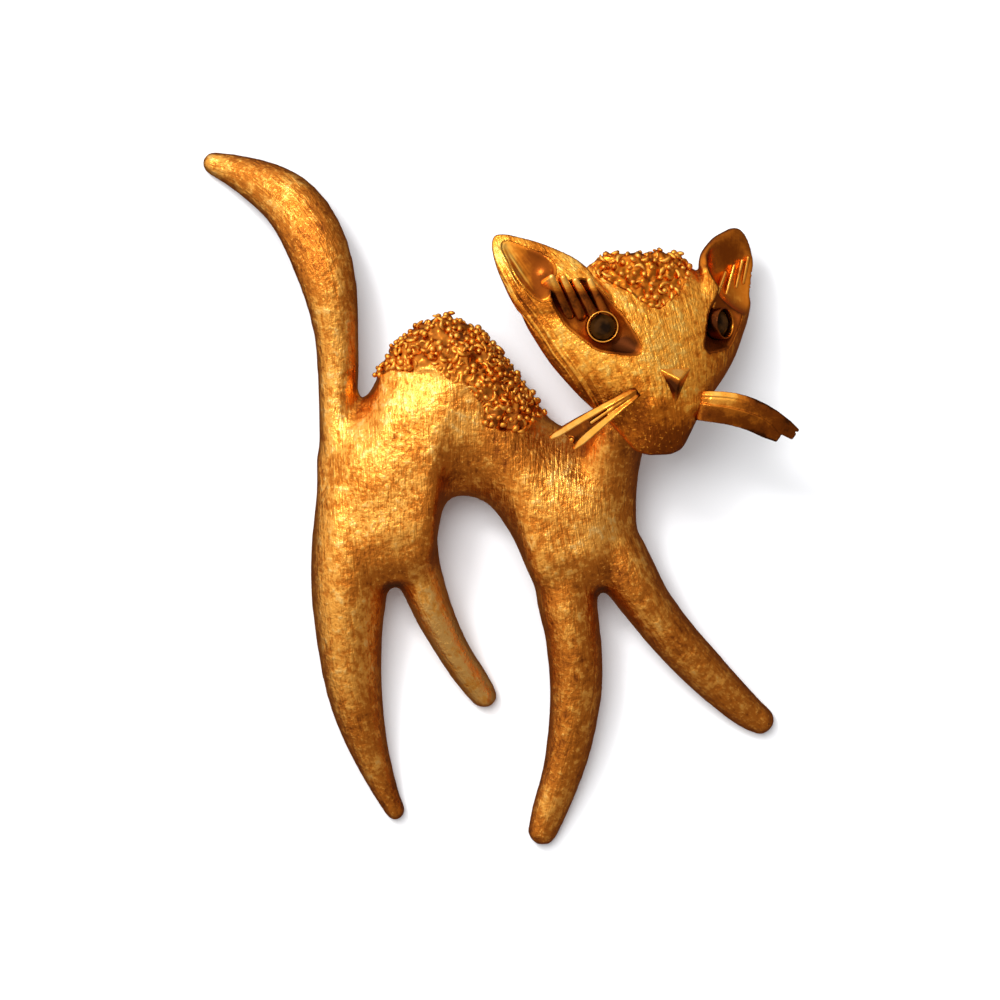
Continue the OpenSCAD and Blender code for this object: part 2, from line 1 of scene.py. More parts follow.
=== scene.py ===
# %% [markdown]
# # A gold-tone cat brooch in Blender
#
# The object is a cast costume brooch: a cat with an arched back, a separate head riveted over its
# neck, whisker fans, smoky stones in small cups, and a pin bar behind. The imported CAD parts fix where
# everything is and how big it is. This lesson dresses them: it rounds the casting, carves the head,
# lays the nugget texture, brushes the gilding and lights the table that the brooch lies on.

# %% Load the frame that the CAD parts give
from math import cos, pi, radians, sin

import bmesh
import bpy
import numpy as np
from mathutils import Matrix, Vector, noise
from mathutils.bvhtree import BVHTree


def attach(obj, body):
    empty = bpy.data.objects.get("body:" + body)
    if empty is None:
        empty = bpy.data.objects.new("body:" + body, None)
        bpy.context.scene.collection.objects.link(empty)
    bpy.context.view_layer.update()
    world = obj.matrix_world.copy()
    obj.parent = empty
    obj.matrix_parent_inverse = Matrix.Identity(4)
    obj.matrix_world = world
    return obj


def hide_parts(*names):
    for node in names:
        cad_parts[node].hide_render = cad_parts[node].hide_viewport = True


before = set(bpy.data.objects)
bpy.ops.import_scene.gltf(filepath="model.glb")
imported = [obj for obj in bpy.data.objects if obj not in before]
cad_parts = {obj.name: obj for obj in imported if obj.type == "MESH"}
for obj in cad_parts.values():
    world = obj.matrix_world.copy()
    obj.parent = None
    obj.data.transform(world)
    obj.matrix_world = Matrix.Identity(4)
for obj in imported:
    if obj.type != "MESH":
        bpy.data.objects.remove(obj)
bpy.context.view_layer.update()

# %% [markdown]
# ## Working in millimetres
#
# A brooch is small, and Blender's voxel tools like numbers near one. So each piece is shaped in
# millimetres and only its finished mesh is brought down to metres. `lay_out` puts a bmesh on the
# bench, `work_in` turns live modifiers into plain mesh, and `put_away` finishes a piece: metres, its
# material, and a place on the brooch.

# %% The bench: from bmesh to object, and from object to finished piece
def lay_out(bm, name):
    """A new object for a bmesh that is drawn in millimetres."""
    mesh = bpy.data.meshes.new(name)
    bm.to_mesh(mesh)
    bm.free()
    obj = bpy.data.objects.new(name, mesh)
    bpy.context.scene.collection.objects.link(obj)
    return obj


def work_in(obj):
    """Replaces an object's mesh with what its modifiers make of it."""
    mesh = bpy.data.meshes.new_from_object(obj.evaluated_get(bpy.context.evaluated_depsgraph_get()))
    before = obj.data
    obj.modifiers.clear()
    obj.data = mesh
    bpy.data.meshes.remove(before)
    mesh.name = obj.name
    return obj


def put_away(obj, finish, replaces=()):
    """Brings a piece down to metres, gives it its finish and sets it on the brooch."""
    obj.data.transform(Matrix.Scale(0.001, 4))
    obj.data.materials.clear()
    obj.data.materials.append(finish)
    obj.data.polygons.foreach_set("use_smooth", [True] * len(obj.data.polygons))
    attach(obj, "root")
    if replaces:
        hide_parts(*replaces)
    obj.data.calc_loop_triangles()
    print(obj.name, "triangles:", len(obj.data.loop_triangles))
    return obj


# %% [markdown]
# ## Casting, carving and fairing
#
# A cast piece has no hard joins: the wax was built up, carved and rubbed smooth before the mould was
# made. Three tools do the same here. The Remesh modifier in voxel mode melts overlapping shapes into
# one even skin. A Boolean carves a hollow. Fairing rubs the facets away: each point moves towards the
# middle of its neighbours and then a little further back out, so that facets go and the form stays. A
# Smooth modifier alone would shrink the thin paws.

# %% Melt, carve and fair
def melt(obj, voxel):
    """One even skin over everything in the object, with quads of about that size."""
    remesh = obj.modifiers.new("melt", "REMESH")
    remesh.mode = "VOXEL"
    remesh.voxel_size = voxel
    work_in(obj)
    print(obj.name, "melted:", len(obj.data.polygons), "faces")
    return obj


def carve(obj, cutter):
    """Takes the cutter's shape out of an object, and the cutter off the bench."""
    knife = obj.modifiers.new("carve", "BOOLEAN")
    knife.operation = "DIFFERENCE"
    knife.solver = "MANIFOLD"
    knife.object = cutter
    work_in(obj)
    mesh = cutter.data
    bpy.data.objects.remove(cutter)
    bpy.data.meshes.remove(mesh)
    print(obj.name, "carved:", len(obj.data.polygons), "faces")
    return obj


def column(obj, name):
    """The points' places or normals as rows of x, y, z."""
    flat = np.empty(len(obj.data.vertices) * 3)
    obj.data.vertices.foreach_get(name, flat)
    return flat.reshape(-1, 3)


def neighbours_of(obj):
    """The two ends of every edge, and how many edges meet at each point."""
    ends = np.empty(len(obj.data.edges) * 2, np.int64)
    obj.data.edges.foreach_get("vertices", ends)
    return ends.reshape(-1, 2).T, np.bincount(ends, minlength=len(obj.data.vertices))


def to_middle(values, ends, valence):
    """From each point's value to the mean of its neighbours' values."""
    a, b = ends
    columns = values.reshape(len(values), -1).T
    total = [np.bincount(a, c[b], len(c)) + np.bincount(b, c[a], len(c)) for c in columns]
    return (np.array(total) / valence).T.reshape(values.shape) - values


def fair(obj, rounds, back=0.02, share=1.0):
    """Rubs facets off: a step in and a slightly longer step out; share is how much, point by point."""
    points = column(obj, "co")
    ends, valence = neighbours_of(obj)
    share = np.broadcast_to(share, len(points))[:, None]
    for _ in range(rounds):
        points = points + 0.5 * share * to_middle(points, ends, valence)
        points = points - (0.5 + back) * share * to_middle(points, ends, valence)
    obj.data.vertices.foreach_set("co", points.ravel())
    obj.data.update()
    return obj


# %% [markdown]
# ## The body
#
# The body is one casting: torso, tail, four legs and neck. Its CAD solid has facets about a
# millimetre wide. A copy of it is merged, melted and faired twice: first in coarse quads, where each
# round reaches far and takes the facets away, then in fine quads for a smooth skin. The thin paws and
# the tip of the tail are rubbed less. The CAD node itself is left alone, because it is the frame that
# everything is measured against.

# %% The body, rounded from its CAD solid
def cad_copy(node):
    """A bmesh of a CAD node in millimetres, with its loose triangles joined up."""
    bm = bmesh.new()
    bm.from_mesh(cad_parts[node].data)
    bmesh.ops.remove_doubles(bm, verts=bm.verts, dist=1e-6)
    bmesh.ops.scale(bm, vec=(1000, 1000, 1000), verts=bm.verts)
    return bm


def px(*pairs):
    """Places measured off the front view, at twelve to the millimetre, as millimetres."""
    return [((x - 500) / 12, (499 - y) / 12) for x, y in pairs]


def spots(obj, *places):
    """A number per point: each place adds its strength, fading over its reach in millimetres."""
    points = column(obj, "co")
    total = np.zeros(len(points))
    for x, y, reach, strength in places:
        far = points[:, :2] - px((x, y))
        total += strength * np.exp(-np.sum(far * far, axis=1) / reach**2)
    return total


body = melt(lay_out(cad_copy("body"), "cat_body"), 0.4)
rubbed = np.interp(column(body, "co")[:, 1], [-27, -9, 16, 28], [0.15, 1, 1, 0.2])
rubbed = rubbed * (1 - spots(body, (397, 582, 2.0, 0.85), (604, 572, 2.0, 0.85)))
fair(body, 100, back=0.026, share=rubbed)
melt(body, 0.185)
fair(body, 20)

# %% [markdown]
# ## Lofts
#
# Most of the head is a run of cross-sections: wide at the cheeks, narrow at the chin. A loft starts
# with one circle, sets it on the first section, and extrudes its edges to each next one. Every point
# keeps its place in the circle as a number on the mesh, so the skin never twists. Small rounded forms
# are a tight skin round a few balls, called pebbles here, and round bars are rods.

# %% A loft, and a smooth run between the rows of a table
def between(rows, steps):
    """A smooth run through the rows of a table, as a Catmull-Rom curve."""
    rows = np.array(rows, float)
    padded = np.vstack([rows[:1], rows, rows[-1:]])
    run = []
    for s in np.linspace(0, len(rows) - 1, steps):
        i = min(int(s), len(rows) - 2)
        t = s - i
        a, b, c, d = padded[i:i + 4]
        run.append(0.5 * (2 * b + (c - a) * t + (2 * a - 5 * b + 4 * c - d) * t**2
                          + (3 * b - a - 3 * c + d) * t**3))
    return run


def ring_edges(ring):
    """The edges that join one ring's points."""
    members = set(ring)
    return list({e for v in ring for e in v.link_edges if e.other_vert(v) in members})


def loft(bm, sections):
    """Draws a skin through closed sections of equal length, and closes its two ends."""
    place = bm.verts.layers.int.get("place") or bm.verts.layers.int.new("place")
    ring = bmesh.ops.create_circle(bm, radius=1, segments=len(sections[0]))["verts"]
    for i, vert in enumerate(ring):
        vert[place] = i
        vert.co = sections[0][i]
    bmesh.ops.contextual_create(bm, geom=ring_edges(ring))
    for section in sections[1:]:
        pulled = bmesh.ops.extrude_edge_only(bm, edges=ring_edges(ring))["geom"]
        ring = [v for v in pulled if isinstance(v, bmesh.types.BMVert)]
        for vert in ring:
            vert.co = section[vert[place]]
    bmesh.ops.contextual_create(bm, geom=ring_edges(ring))
    bmesh.ops.recalc_face_normals(bm, faces=bm.faces)
    return bm


def wrapped(*pebbles, detail=4):
    """One tight skin round a few pebbles, each given as a centre and a radius."""
    bm = bmesh.new()
    for centre, radius in pebbles:
        bmesh.ops.create_icosphere(bm, subdivisions=detail, radius=radius,
                                   matrix=Matrix.Translation(centre))
    bmesh.ops.delete(bm, geom=bm.edges[:], context="EDGES_FACES")
    hull = bmesh.ops.convex_hull(bm, input=bm.verts[:], use_existing_faces=False)
    spare = [g for g in hull["geom_interior"] + hull["geom_unused"] if isinstance(g, bmesh.types.BMVert)]
    bmesh.ops.delete(bm, geom=list(set(spare)), context="VERTS")
    return bm


def join(target, bm):
    """Moves everything in one bmesh over into another."""
    piece = bpy.data.meshes.new("piece")
    bm.to_mesh(piece)
    bm.free()
    target.from_mesh(piece)
    bpy.data.meshes.remove(piece)


def rod(bm, segments, radii, low, high, place):
    """Adds a round rod or cone that stands along z from low to high, set at its place."""
    bmesh.ops.create_cone(bm, cap_ends=True, segments=segments, radius1=radii[0], radius2=radii[1],
                          depth=high - low, matrix=place @ Matrix.Translation((0, 0, (low + high) / 2)))


# %% [markdown]
# ## The head
#
# The head is a second casting, set over the neck and turned towards the viewer's right. It is drawn
# in its own frame, facing straight ahead: u across, v up and w out, all as shares of its size. One
# matrix then turns it, flattens it as a relief is flattened, and sets it down. The tables are the
# same sections that the CAD solid is built on.

# %% The head's own frame
head_w, head_h, head_d = 24.3, 16.2, 10.7
ear_h, ear_lean = 2.5, 0.02
head_turn, head_tilt = 29, 2
set_down = (Matrix.Translation((10.075, 3.55, 7.8)) @ Matrix.Rotation(radians(head_tilt), 4, "Z")
            @ Matrix.Diagonal((1, 1, 0.62, 1)) @ Matrix.Rotation(radians(head_turn), 4, "Y"))

# height, half-width, depth of the widest line, of the midline and of the back
skull_table = [
    [0.00, 0.09, 0.60, 0.66, 0.57],
    [0.03, 0.18, 0.60, 0.73, 0.45],
    [0.10, 0.245, 0.59, 0.81, 0.30],
    [0.185, 0.33, 0.54, 0.88, 0.18],
    [0.29, 0.47, 0.46, 0.93, 0.08],
    [0.39, 0.60, 0.44, 0.94, 0.04],
    [0.49, 0.71, 0.41, 0.92, 0.01],
    [0.60, 0.80, 0.37, 0.885, 0.00],
    [0.70, 0.87, 0.34, 0.83, 0.00],
    [0.80, 0.90, 0.31, 0.745, 0.02],
    [0.86, 0.78, 0.31, 0.68, 0.05],
    [0.91, 0.57, 0.32, 0.62, 0.10],
    [0.96, 0.41, 0.36, 0.60, 0.16],
    [1.00, 0.35, 0.38, 0.55, 0.23],
    [1.035, 0.22, 0.41, 0.50, 0.30]]
# height above the crown, inner and outer edge, their depths, back, front
ear_table = [
    [-1.60, 0.34, 0.885, 0.70, 0.31, 0.22, 0.14],
    [-1.10, 0.37, 0.935, 0.66, 0.29, 0.25, 0.14],
    [-0.61, 0.42, 0.970, 0.59, 0.265, 0.25, 0.12],
    [-0.20, 0.45, 0.995, 0.52, 0.235, 0.23, 0.08],
    [0.15, 0.505, 1.005, 0.43, 0.20, 0.19, 0.05],
    [0.45, 0.595, 1.005, 0.34, 0.17, 0.16, 0.04],
    [0.72, 0.70, 0.995, 0.25, 0.14, 0.12, 0.03],
    [0.91, 0.82, 0.97, 0.18, 0.12, 0.09, 0.03],
    [1.00, 0.88, 0.945, 0.14, 0.12, 0.05, 0.02]]


def share(u, v, w, up=0.0):
    """A point of the head's frame, with up in millimetres above it."""
    return Vector((u * head_w / 2, v * head_h + up, w * head_d))


def bulge(s):
    """How far the face stands out at a share s of its half-width."""
    s = min(1, abs(s))
    return 0.8 * (1 - s**2.8) + 0.2 * (1 - s * s) ** 0.5


def on_face(u, v, lift=0.0):
    """A point on the face, lifted off it by a share of the head's depth."""
    half, edge, middle = (np.interp(v, *np.array(skull_table)[:, [0, k]].T) for k in (1, 2, 3))
    return share(u, v, edge + (middle - edge) * bulge(u / half) + lift)


print("middle of the face, mm:", [round(c, 2) for c in set_down @ on_face(0, 0.5)])

# %% [markdown]
# ## The skull, the muzzle and the ears
#
# The skull is a loft of 64-point sections, each a flat back and a bulging face. The ears are lofts
# that grow out of it, and the muzzle is a skin wrapped round three pebbles. Melted together they
# become one blank, and a little fairing leaves a soft fillet where they meet.

# %% Blank for the head
def skull_section(row):
    v, half, edge, middle, back = row
    turn = [2 * pi * i / 64 for i in range(64)]
    return [share(half * cos(a), v, edge + (middle - edge) * bulge(cos(a)) if sin(a) >= 0
                  else edge - (back - edge) * sin(a)) for a in turn]


def ear_section(row, side):
    up, inner, outer, inner_depth, outer_depth, back, front = row
    points = []
    for i in range(40):
        a = 2 * pi * i / 40
        u = (inner + outer) / 2 + (outer - inner) / 2 * cos(a)
        rim = (inner_depth + outer_depth) / 2 + (outer_depth - inner_depth) / 2 * cos(a)
        out = rim + (front if sin(a) >= 0 else back) * sin(a)
        points.append(share(side * u - ear_lean, 1, out, up * ear_h))
    return points


blank = bmesh.new()
loft(blank, [skull_section(r) for r in between(skull_table, 70)])
for side in (-1, 1):
    loft(blank, [ear_section(r, side) for r in between(ear_table, 40)])
join(blank, wrapped((share(-0.13, 0.27, 0.80), 1.3), (share(0.13, 0.27, 0.80), 1.3),
                    (share(0, 0.14, 0.79), 0.585)))
bmesh.ops.transform(blank, matrix=set_down, verts=blank.verts)
head = melt(lay_out(blank, "cat_head"), 0.13)
fair(head, 30)

# %% [markdown]
# ## Hollows of the head
#
# The ears are scooped out at the front, and each eye lies in a long almond-shaped recess. Both are
# carved with wrapped pebbles, as a carver would sink them with a round burr. The ear at the viewer's
# left is a narrow scoop, widest at its middle. The other one gets a wide, shallow dish from one big
# pebble. Carving comes after the fairing, so that the edges stay crisp.

# %% Carve the ears and the eye recesses
carved_by = {"scoop": [], "recess": []}


def sink(kind, *pebbles):
    """Carves wrapped pebbles out of the head, and remembers the surface that they leave."""
    cutter = wrapped(*pebbles, detail=5)
    bmesh.ops.transform(cutter, matrix=set_down, verts=cutter.verts)
    bmesh.ops.recalc_face_normals(cutter, faces=cutter.faces)
    carved_by[kind].append(BVHTree.FromBMesh(cutter))
    carve(head, lay_out(cutter, "cutter"))


sink("scoop", (share(-0.925 - ear_lean, 1, 0.24, 1.6), 0.5),
     (share(-0.83 - ear_lean, 1, 0.45, -0.125), 1.8), (share(-0.83 - ear_lean, 1, 0.55, -2.5), 0.9))
sink("scoop", (share(0.925 - ear_lean, 1, 0.27, 1.6), 0.35),
     (share(0.868 - ear_lean, 1, 0.70, -0.3), 4.95))
for side, outer, top, wide in ((-1, 0.69, 0.835, 0.9), (1, 0.655, 0.80, 1.15)):
    sink("recess", (on_face(side * outer, top, 0.05), wide), (on_face(side * 0.565, top, 0.04), 1.15),
         (on_face(side * 0.625, 0.72, 0.04), 1.3), (on_face(side * 0.473, 0.652, 0.05), 1.9),
         (on_face(side * 0.30, 0.55, 0.02), 0.55))

# %% [markdown]
# ## The rivet
#
# The head is held by a rivet that stands behind it, in the neck. It is added to the carved head, and a
# second, finer melt joins the two.

# %% Add the rivet
parts = bmesh.new()
parts.from_mesh(head.data)


def add(bm, matrix=set_down):
    """Adds a small shape to the parts, set down as the head is unless another place is given."""
    bmesh.ops.transform(bm, matrix=matrix, verts=bm.verts)
    join(parts, bm)


as_drawn = Matrix.Identity(4)
rivet_at = set_down @ share(0.02, 0.30, 0.3)
for radius, low, high in ((1.0, 3.5, rivet_at.z), (1.5, 3.5, 4.0)):
    peg = bmesh.new()
    rod(peg, 48, (radius, radius), low, high, Matrix.Translation((rivet_at.x, rivet_at.y, 0)))
    add(peg, as_drawn)
parts.to_mesh(head.data)
parts.free()
melt(head, 0.12)

# %% [markdown]
# ## Seats for the eye cups
#
# Each cup stands in a round seat that is drilled square to the cup's own axis, splayed outwards from
# the face. The same frame places the seat, the cup and the stone.

# %% Drill the seats, and rub the whole head once more
cup_r, cup_wall, cup_depth, seat_gap, cup_splay = 1.32, 0.2, 1.3, 0.05, 27


def eye_frame(side):
    """The frame of an eye in millimetres, z along the cup's axis; side is -1 for the viewer's left."""
    return (Matrix.Translation(set_down @ on_face(side * 0.473, 0.662, -0.02))
            @ Matrix.Rotation(radians(head_tilt), 4, "Z")
            @ Matrix.Rotation(radians(head_turn + cup_splay * side), 4, "Y"))


fair(head, 6, back=0.0)
for side in (-1, 1):
    drill = bmesh.new()
    rod(drill, 64, (cup_r + seat_gap, cup_r + seat_gap), -cup_depth - seat_gap, 2.65, eye_frame(side))
    carve(head, lay_out(drill, "drill"))
head.data.update()
head.data.calc_loop_triangles()
print("head triangles:", len(head.data.loop_triangles))

# %% [markdown]
# ## Brow ribs and nose
#
# Four thin ribs fan up and out over each eye like lashes, and a small wedge makes the nose. They are
# the crispest forms of the face, so they stay out of the melt. Each is a skin wrapped tight round tiny
# pebbles, which gives flat sides and fine rounded edges, and its foot is sunk in the head. The ribs at
# the viewer's left are placed as shares of the open face. At the viewer's right the head turns away,
# so those ribs and the nose are set on the surface, by a ray shot down at a place of the front view.

# %% Add the brow ribs and the nose
skin = BVHTree.FromObject(head, bpy.context.evaluated_depsgraph_get())


def on_head(x, y, lift):
    """A point of the head's surface under a place of the front view, lifted towards the viewer."""
    (across, up), = px((x, y))
    return skin.ray_cast(Vector((across, up, 30)), Vector((0, 0, -1)))[0] + Vector((0, 0, lift))


# foot across and up, tip across, up and out, as shares of the head
left_lashes = [
    [-0.40, 0.700, -0.510, 0.900, 0.63],
    [-0.48, 0.715, -0.610, 0.902, 0.61],
    [-0.56, 0.725, -0.695, 0.918, 0.59],
    [-0.63, 0.730, -0.775, 0.922, 0.57]]
# foot and tip as places of the front view
right_lashes = [(712, 308, 725, 273), (726, 294, 734, 266), (736, 287, 742, 261), (743, 283, 748, 258)]
parts = bmesh.new()
for u0, v0, u1, v1, out in left_lashes:
    add(wrapped((on_face(u0, v0, -0.10), 0.46), (share(u1, v1, out), 0.28),
                (share(u1 * 0.98, v1 - 0.022, out - 0.14), 0.38), detail=3))
for x0, y0, x1, y1 in right_lashes:
    add(wrapped((on_head(x0, y0, -0.05), 0.17), (on_head(x1, y1, 0.5), 0.15),
                (on_head(x1, y1, 0.0), 0.22), detail=3), as_drawn)
nose = ((661, 372, -0.05, 0.15), (687, 371, -0.05, 0.15), (674, 400, -0.1, 0.18), (678, 381, 0.75, 0.16),
        (675, 391, 0.4, 0.16))
add(wrapped(*[(on_head(x, y, lift), radius) for x, y, lift, radius in nose]), as_drawn)
long_edges = [e for e in parts.edges if e.calc_length() > 0.5]
bmesh.ops.subdivide_edges(parts, edges=long_edges, cuts=7, use_grid_fill=True)
brow = lay_out(parts, "brow_ribs_and_nose")

# %% [markdown]
# ## Whisker fans
#
# Each fan is a few polished blades with a thin web between them. They run side by side along one
# curve, each to its own length. A blade has a flat top that leans to one side, like one slope of a
# roof, and catches the light all at once. A run of wrapped pebbles gives each blade, and one melt joins
# the fan. The fan at the viewer's right has one wide blade below and three narrower ones above it. The
# other carries a small bead between its blades.

# %% The whisker fans
whisker_len, whisker_w = 8.0, 2.0
down = Vector((0, 0, -1))
# across, up, out, half-width between the outer blades
left_run = [
    [0.06, 0.04, -0.10, 0.24],
    [0.00, 0.00, 0.00, 0.32],
    [-0.27, -0.18, 0.00, 0.58],
    [-0.53, -0.36, -0.12, 0.86],
    [-0.77, -0.54, -0.34, 1.12]]
right_run = [
    [-0.10, 0.01, -0.06, 0.86],
    [0.00, 0.00, 0.00, 0.95],
    [0.31, -0.04, 0.00, 1.06],
    [0.60, -0.15, -0.06, 0.98],
    [0.927, -0.377, -0.18, 0.90]]
# each blade: place across the fan, reach, width at root and end, rise from its first edge to its second
left_blades = [
    (-0.88, 1.0, 0.34, 0.76, 0.20),
    (0.88, 0.88, 0.34, 0.74, 0.22),
    (0.0, 0.66, 0.24, 0.22, 0.0)]
right_blades = [
    (-0.72, 0.895, 1.50, 1.45, 0.45),
    (0.26, 0.965, 0.38, 1.3, 0.1),
    (0.5, 0.72, 0.30, 0.2, -0.05),
    (0.92, 0.97, 0.44, 0.62, -0.12)]


def rib_run(at, table, reach, place, steps):
    """Points along one blade, each with the sideways direction there; place is -1 and 1 at the edges."""
    rows = [list(at + Vector(r[:3]) * whisker_len) + [r[3] * whisker_w / 2] for r in table]
    fine = np.array(between(rows, 81))
    slope = np.gradient(fine[:, :2], axis=0)
    slope /= np.linalg.norm(slope, axis=1)[:, None]
    aside = np.stack([-slope[:, 1], slope[:, 0], 0 * slope[:, 0]], 1)
    centre = fine[:, :3] + aside * place * fine[:, 3:]
    return [(Vector(centre[int(k)]), Vector(aside[int(k)])) for k in np.linspace(0, 80 * reach, steps)]


def blade(run, root, end, rise, top=0.34, edge=0.1):
    """Adds a blade along a run: two edges above, a keel below, narrower at its very tip."""
    stations = []
    for k, (p, aside) in enumerate(run):
        t = k / (len(run) - 1)
        half = max(0.04, (root + (end - root) * t) / 2 * (1 - 0.5 * max(0, 5 * t - 4) ** 3) - edge)
        slant = aside * half - down * rise / 2
        stations.append([p - down * top - slant, p - down * top + slant, p + down * 0.25])
    for here, there in zip(stations, stations[1:]):
        add(wrapped(*[(corner, edge) for corner in here + there], detail=2), as_drawn)


left_root, right_root = set_down @ on_face(-0.31, 0.31, 0.03), set_down @ on_face(0.25, 0.25, 0.04)
whiskers = {}
# web_reach: how far the web goes along the fan's second edge, as a share of the run
for name, at, table, blades, web_reach in (("whisker_left", left_root, left_run, left_blades, 0.84),
                                           ("whisker_right", right_root, right_run, right_blades, 0.93)):
    parts = bmesh.new()
    for place, reach, root, end, rise in blades:
        blade(rib_run(at, table, reach, place, 13), root, end, rise)
    edges = [rib_run(at, table, reach, place, 7) for place, reach in ((-0.9, 0.86), (0.9, web_reach))]
    for j in range(6):
        corners = [(run[i][0] + down * 0.36, 0.24) for run in edges for i in (j, j + 1)]
        add(wrapped(*corners, detail=2), as_drawn)
    if name == "whisker_left":
        add(wrapped((rib_run(at, table, 0.86, 0.2, 2)[1][0] + down * 0.1, 0.27)), as_drawn)
    whiskers[name] = melt(lay_out(parts, name + "_fan"), 0.06)
    fair(whiskers[name], 4)

# %% [markdown]
# ## Eye cups and stones
#
# A cup is turned metal: its profile is drawn once and spun about the axis. The stones keep their CAD
# shape, because their flat facets are what a cut stone is.

# %% Turn the eye cups
profile = [(0, -cup_depth), (cup_r - 0.12, -cup_depth), (cup_r, -1.18), (cup_r, 0.16),
           (cup_r - 0.02, 0.22), (cup_r - 0.07, 0.25), (cup_r - 0.12, 0.22), (cup_r - 0.15, 0.1),
           (cup_r - cup_wall, -0.3), (cup_r - cup_wall, -0.95), (0, -0.95)]
cups = {}
for side, name in ((-1, "eye_cup_left"), (1, "eye_cup_right")):
    cup = bmesh.new()
    line = [cup.verts.new((r, 0, z)) for r, z in profile]
    edges = [cup.edges.new(pair) for pair in zip(line, line[1:])]
    bmesh.ops.spin(cup, geom=line + edges, axis=(0, 0, 1), cent=(0, 0, 0), angle=2 * pi, steps=48,
                   use_merge=True)
    bmesh.ops.remove_doubles(cup, verts=cup.verts, dist=0.001)
    bmesh.ops.recalc_face_normals(cup, faces=cup.faces)
    bmesh.ops.transform(cup, matrix=eye_frame(side), verts=cup.verts)
    cups[name] = lay_out(cup, name + "_turned")

# %% [markdown]
# ## Nuggets on the hump and the crown
#
# The hump and the crown carry a nugget texture: the ground between is lumpy, and little beads and
# bent worms of metal lie on it, close together and half sunk. There are a few forms of 48 faces each. A
# seeded throw of darts picks the places, and a dart that lands too near another is left out. Each
# place gets a copy of one form, turned any way along the surface.

# %% Lay the nuggets
def inside(x, y, outline):
    """Which points lie inside a closed outline."""
    hit = np.zeros(len(x), bool)
    for (x0, y0), (x1, y1) in zip(outline, outline[1:] + outline[:1]):
        crosses = (y0 > y) != (y1 > y)
        hit ^= crosses & (x < (x1 - x0) * (y - y0) / (y1 - y0 + 1e-12) + x0)
    return hit


def nugget_patch(obj, outline):
    """1 on the upper skin inside an outline and 0 elsewhere, with a soft edge."""
    points, normals = column(obj, "co"), column(obj, "normal")
    patch = (inside(points[:, 0], points[:, 1], outline) & (normals[:, 2] > -0.3) & (points[:, 2] > 4)) * 1.0
    ends, valence = neighbours_of(obj)
    for _ in range(4):
        patch = patch + to_middle(patch, ends, valence)
    return patch


def roughen(obj, patch, size, depth):
    """Raises and sinks the skin of a patch in lumps of about that size."""
    points, normals = column(obj, "co"), column(obj, "normal")
    for i in np.flatnonzero(patch > 0.01):
        lump = noise.noise(Vector(points[i]) / size) + 0.6 * noise.noise(Vector(points[i]) / size * 2.1)
        points[i] += normals[i] * lump * depth * patch[i]
    obj.data.vertices.foreach_set("co", points.ravel())
    obj.data.update()


def form(length, bend):
    """A bead one unit in radius, drawn out along x and bent."""
    bm = bmesh.new()
    bmesh.ops.create_uvsphere(bm, u_segments=8, v_segments=6, radius=1, matrix=Matrix.Rotation(pi / 2, 4, "Y"))
    for vert in bm.verts:
        vert.co.x *= length
        vert.co.y += bend * vert.co.x**2
    mesh = bpy.data.meshes.new("form")
    bm.to_mesh(mesh)
    bm.free()
    return mesh


def scatter(obj, patch, gap, dice):
    """Picks points of a patch, none nearer to another than the gap, which is wider in some places."""
    points = column(obj, "co")
    chosen = []
    for i in dice.permutation(np.flatnonzero(patch > 0.5)):
        room = gap * (1.1 + 0.9 * max(0, noise.noise(Vector(points[i]) / 1.3)) * 2)
        if not chosen or np.min(np.sum((points[chosen] - points[i]) ** 2, axis=1)) > room * room:
            chosen.append(i)
    return chosen


def nuggets(obj, patch, gap, size, seed, name):
    """Drops beads and worms on the picked points, each lying along the surface."""
    dice = np.random.default_rng(seed)
    points, normals = column(obj, "co"), column(obj, "normal")
    forms = [form(*f) for f in ((1.0, 0), (1.3, 0), (2.0, 0.12), (2.7, -0.16), (2.3, 0.3))]
    chosen = scatter(obj, patch, gap, dice)
    bm = bmesh.new()
    for i in chosen:
        up = Vector(normals[i])
        lean = up.cross(Vector(dice.normal(size=3))).normalized() + up * dice.uniform(-0.15, 0.35)
        aside = up.cross(lean).normalized()
        turn = Matrix((lean.normalized(), aside, lean.normalized().cross(aside))).transposed().to_4x4()
        radius = size * dice.uniform(0.7, 1.25)
        kind = dice.choice(len(forms), p=(0.34, 0.2, 0.2, 0.13, 0.13))
        radius *= (1.1, 1.0, 0.85, 0.8, 0.8)[kind]
        copy = forms[kind].copy()
        copy.transform(Matrix.Translation(Vector(points[i]) + up * radius * dice.uniform(0.0, 0.75)) @ turn
                       @ Matrix.Scale(radius, 4))
        bm.from_mesh(copy)
        bpy.data.meshes.remove(copy)
    for mesh in forms:
        bpy.data.meshes.remove(mesh)
    print(name, "nuggets:", len(chosen))
    return lay_out(bm, name)


hump_outline = px(
    (378, 378), (386, 369), (400, 371), (420, 369), (434, 368), (442, 372), (449, 378), (456, 382),
    (469, 385), (478, 399), (487, 408), (484, 421), (488, 427), (504, 430), (524, 432), (534, 420),
    (550, 412), (525, 380), (515, 350), (480, 320), (440, 305), (400, 320), (372, 350))
crown_outline = px(
    (590, 266), (597, 276), (608, 283), (621, 289), (632, 295), (642, 304), (659, 310), (667, 302),
    (680, 292), (688, 276), (690, 262), (670, 245), (620, 245), (592, 252))
hump_patch, crown_patch = nugget_patch(body, hump_outline), nugget_patch(head, crown_outline)
roughen(body, hump_patch, 1.1, 0.42)
roughen(head, crown_patch, 0.9, 0.3)
hump = nuggets(body, hump_patch, 0.42, 0.23, 7, "hump_nuggets")
crown = nuggets(head, crown_patch, 0.52, 0.23, 11, "crown_nuggets")

